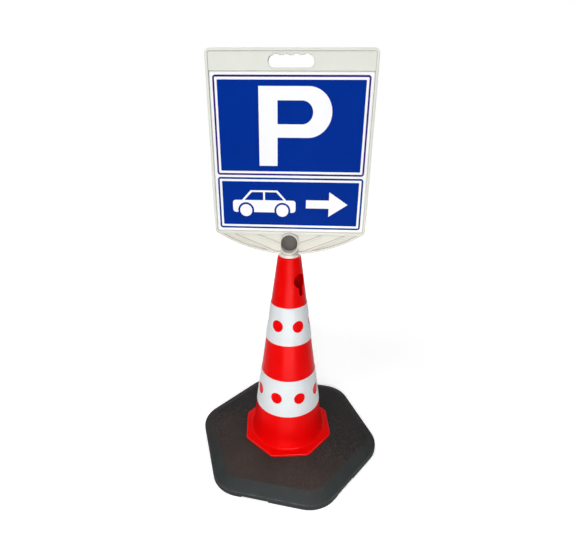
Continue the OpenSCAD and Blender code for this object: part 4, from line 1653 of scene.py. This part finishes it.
    def build(self) -> None:
        """Makes the board, with two ribs on each side of the hub."""
        ribs = [self.rib(number, side) for number in range(2) for side in (-1, 1)]
        plates = [self.header(), self.fan(), *self.plates()]
        whole = Surface.joined([self.rim(), self.lip(), *plates, *ribs, *self.hub(), self.stem()])
        make_piece("moulded_board", whole, Body.SIGN, ["sign_board"], BOARD)


@dataclass
class HubPlug:
    """Grey plug set back in the hub, with a soft edge and a shallow dish on each face."""

    radius: float = 17.15 * MM
    half: float = 3 * MM
    dish: float = 0.6 * MM
    dish_share: float = 0.8
    land_share: float = 0.86
    edge_cut: float = 0.8 * MM
    land_cut: float = 0.6 * MM
    hub_z: float = 534.5 * MM
    hub_stretch: float = 5.5 * MM

    def build(self) -> None:
        """Makes the plug: a profile turned about Y and drawn out like the hub, alike on both faces."""
        floor, land = self.half - self.dish, self.half
        half = [
            (0, floor, 0),
            (self.radius * self.dish_share, floor, self.edge_cut),
            (self.radius * self.land_share, land, self.land_cut),
            (self.radius, land, self.edge_cut),
        ]
        front = [(radius, -depth, cut) for radius, depth, cut in half]
        disc = Surface.tube(tall_ring(softened(front + half[::-1]), self.hub_stretch, self.hub_z))
        make_piece("hub_plug_disc", disc, Body.SIGN, ["hub_plug"], PLUG)


@dataclass
class FlangeBolts:
    """Hexagon bolts under the base, with dished and chamfered heads."""

    count: int = 8
    columns: int = 48
    circle_r: float = 103.7 * MM
    shank_r: float = 3 * MM
    end_z: float = 31 * MM
    end_chamfer_w: float = 0.5 * MM
    end_chamfer_h: float = 0.6 * MM
    head_half_w: float = 5 * MM
    head_sides: int = 6
    head_corner: float = 1.15
    head_low_z: float = 3.6 * MM
    head_high_z: float = 7.6 * MM
    dish: float = 0.3 * MM
    dish_shares: Span = (0.55, 0.6)
    chamfer_share: float = 0.96
    chamfer_low: float = 0.35 * MM
    chamfer_h: float = 0.8 * MM
    # Share of the hexagon in the middle of the chamfer and at the seat
    chamfer_hex: float = 0.35
    seat_hex: float = 0.9
    seat_share: float = 0.97
    seat_h: float = 0.2 * MM

    def build(self) -> None:
        """Makes the bolts: a profile turned about its axis, a hexagon on the head's sides."""
        w, low, high = self.head_half_w, self.head_low_z, self.head_high_z
        dish_in, dish_out = self.dish_shares
        profile = np.array([
            [0, low + self.dish, 0],
            [w * dish_in, low + self.dish, 0],
            [w * dish_out, low, 0],
            [w * self.chamfer_share, low, 0],
            [w, low + self.chamfer_low, self.chamfer_hex],
            [w, low + self.chamfer_h, 1],
            [w, high - self.seat_h, 1],
            [w * self.seat_share, high, self.seat_hex],
            [self.shank_r, high, 0],
            [self.shank_r, self.end_z - self.end_chamfer_h, 0],
            [self.shank_r - self.end_chamfer_w, self.end_z, 0],
            [0, self.end_z, 0],
        ])
        angles = ring_angles(self.columns)
        growth = polygon_growth(angles, self.head_sides, self.head_corner)
        one = Surface.tube(turned_about_z(profile, angles, growth) + [self.circle_r, 0, 0])
        turns = ring_angles(self.count) + np.pi / self.count + STAND_TURN
        whole = Surface.joined([one.turned(turn) for turn in turns])
        make_piece("flange_bolt_set", whole, Body.STAND, ["flange_bolts"], ZINC)


@dataclass
class FinishedSolids:
    """CAD solids that keep their shape and get a finish: the films and the hidden hardware."""

    def build(self) -> None:
        """Gives each solid its material."""
        white, blue, zinc = WHITE_FILM.made(), BLUE_FILM.made(), ZINC.made()
        finishes = {
            "front_film": white, "back_film": white, "front_print": blue, "back_print": blue,
            "backing_ring": zinc, "bolt_washers": zinc,
            "flange_inserts": BRASS.made(), "bush_clip": CLIP.made(),
        }
        for node, material in finishes.items():
            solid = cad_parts[node]
            solid.data.materials.clear()
            solid.data.materials.append(material)
            log.info("%s: CAD solid with finish %s", node, material.name)


@dataclass(frozen=True)
class Softbox:
    """A rectangular studio lamp. A sheen lamp only shows in glossy faces."""

    name: str
    place: Place
    aim: Place
    width: float
    height: float
    watts: float
    spread: float = 180.0
    sheen_only: bool = False

    def hang(self) -> None:
        """Adds the lamp, turned towards its aim."""
        lamp = bpy.data.lights.new(self.name, "AREA")
        lamp.shape = "RECTANGLE"
        lamp.size, lamp.size_y, lamp.energy = self.width, self.height, self.watts
        lamp.spread = np.radians(self.spread)
        holder = bpy.data.objects.new(self.name, lamp)
        holder.location = self.place
        towards = Vector(self.aim) - Vector(self.place)
        holder.rotation_euler = towards.to_track_quat("-Z", "Y").to_euler()
        holder.visible_camera = False
        holder.visible_diffuse = not self.sheen_only
        bpy.context.scene.collection.objects.link(holder)


@dataclass
class Studio:
    """White floor and surroundings, soft lamps and the photograph's camera."""

    ambient: float = 0.265
    floor_half: float = 40.0
    floor_z: float = -0.2 * MM
    floor_tone: float = 0.86
    floor_roughness: float = 0.9
    floor_specular: float = 0.1
    # White lift of the floor where it is seen: none under the base, then from near to far
    covered_r: float = 0.19
    lift_span: Span = (0.5, 2.2)
    lift: Span = (0.5, 0.76)
    eye: Place = (0.0361, -0.8006, 0.7775)
    forward: Place = (-0.0462, 0.9263, -0.3740)
    right: Place = (0.9986, 0.0528, 0.0076)
    lens: float = 24.364
    sensor: float = 36.0
    clip: Span = (0.01, 200.0)
    lamps: tuple[Softbox, ...] = (
        Softbox("sheen_panel", (0.06, -0.5, 0.27), (0.06, 0.0, 0.27), 0.44, 0.48, 6.4, sheen_only=True),
        Softbox("floor_panel", (0.0, -0.29, 0.004), (0.0, -0.29, 1.0), 0.23, 0.1, 0.42, sheen_only=True),
        Softbox("front_box", (0.05, -1.9, 0.9), (0.0, 0.0, 0.4), 0.7, 0.7, 13.2),
        Softbox("foot_box", (0.0, -1.6, 0.95), (0.0, 0.0, 0.03), 0.3, 0.2, 0.2, spread=32.0),
        Softbox("left_box", (-1.5, -1.9, 1.7), (0.0, 0.0, 0.5), 0.9, 0.9, 9.0),
        Softbox("top_box", (-0.4, -1.2, 2.3), (0.0, 0.0, 0.4), 1.0, 1.0, 10.0),
        Softbox("back_box", (-0.2, 2.4, 0.75), (0.0, 0.0, 0.45), 0.8, 0.8, 16.0),
    )

    def surround(self) -> None:
        """White world: full strength where it is seen, softer as light."""
        world = bpy.data.worlds.new("studio")
        world.use_nodes = True
        graph = Graph(world.node_tree)
        background = graph.tree.nodes["Background"].inputs
        graph.feed(background["Color"], (1.0, 1.0, 1.0))
        graph.feed(background["Strength"], graph.remap(graph.seen(), WHOLE, (self.ambient, 1.0)))
        bpy.context.scene.world = world

    def floor(self) -> None:
        """Plain pale floor that keeps the object's shadow, and is lifted to white where it is seen."""
        half, z = self.floor_half, self.floor_z
        mesh = bpy.data.meshes.new("floor")
        corners = [(-half, -half, z), (half, -half, z), (half, half, z), (-half, half, z)]
        mesh.from_pydata(corners, [], [range(4)])
        plane = bpy.data.objects.new("floor", mesh)
        bpy.context.scene.collection.objects.link(plane)
        s = Shading("floor_paper")
        s.set(Base_Color=(self.floor_tone,) * 3)
        s.set(Roughness=self.floor_roughness, Specular_IOR_Level=self.floor_specular)
        distance = s.vector("LENGTH", s.place)["Value"]
        bare = s.math("GREATER_THAN", distance, self.covered_r)
        lift = s.math("MULTIPLY", s.remap(distance, self.lift_span, self.lift), bare)
        s.set(Emission_Color=(1.0, 1.0, 1.0))
        s.set(Emission_Strength=s.math("MULTIPLY", s.seen(), lift))
        mesh.materials.append(s.material)

    def camera(self) -> None:
        """Camera at the photograph's place and lens."""
        ahead = Vector(self.forward).normalized()
        up = Vector(self.right).cross(ahead).normalized()
        right = ahead.cross(up)
        data = bpy.data.cameras.new("photo_camera")
        data.sensor_fit, data.sensor_width, data.lens = "HORIZONTAL", self.sensor, self.lens
        data.clip_start, data.clip_end = self.clip
        holder = bpy.data.objects.new("photo_camera", data)
        turn = Matrix((right, up, -ahead)).transposed().to_4x4()
        holder.matrix_world = Matrix.Translation(self.eye) @ turn
        bpy.context.scene.collection.objects.link(holder)
        bpy.context.scene.camera = holder

    def build(self) -> None:
        """Sets the stage."""
        self.surround()
        self.floor()
        self.camera()
        for lamp in self.lamps:
            lamp.hang()
        bpy.context.scene.view_settings.view_transform = "Standard"


def main() -> None:
    """Builds the stage and the sub-assemblies in order."""
    logging.basicConfig(level=logging.INFO, format="%(name)s: %(message)s")
    cone = ConeBody()
    upper = ReflectiveSleeve(
        "upper_reflective_sleeve", "upper_sleeve", cone,
        low_z=303 * MM, height=88 * MM, holes=6, hole_turn=-21.0,
    )
    lower = ReflectiveSleeve(
        "lower_reflective_sleeve", "lower_sleeve", cone,
        low_z=124.5 * MM, height=91 * MM, holes=8, hole_turn=-26.0,
    )
    stand = (RubberBase(), cone, upper, lower, FlangeBolts())
    sign = (SwivelBush(), SignBoard(), HubPlug())
    for assembly in (Studio(), *stand, *sign, FinishedSolids()):
        log.info("building %s", type(assembly).__name__)
        assembly.build()


if __name__ == "__main__":
    main()
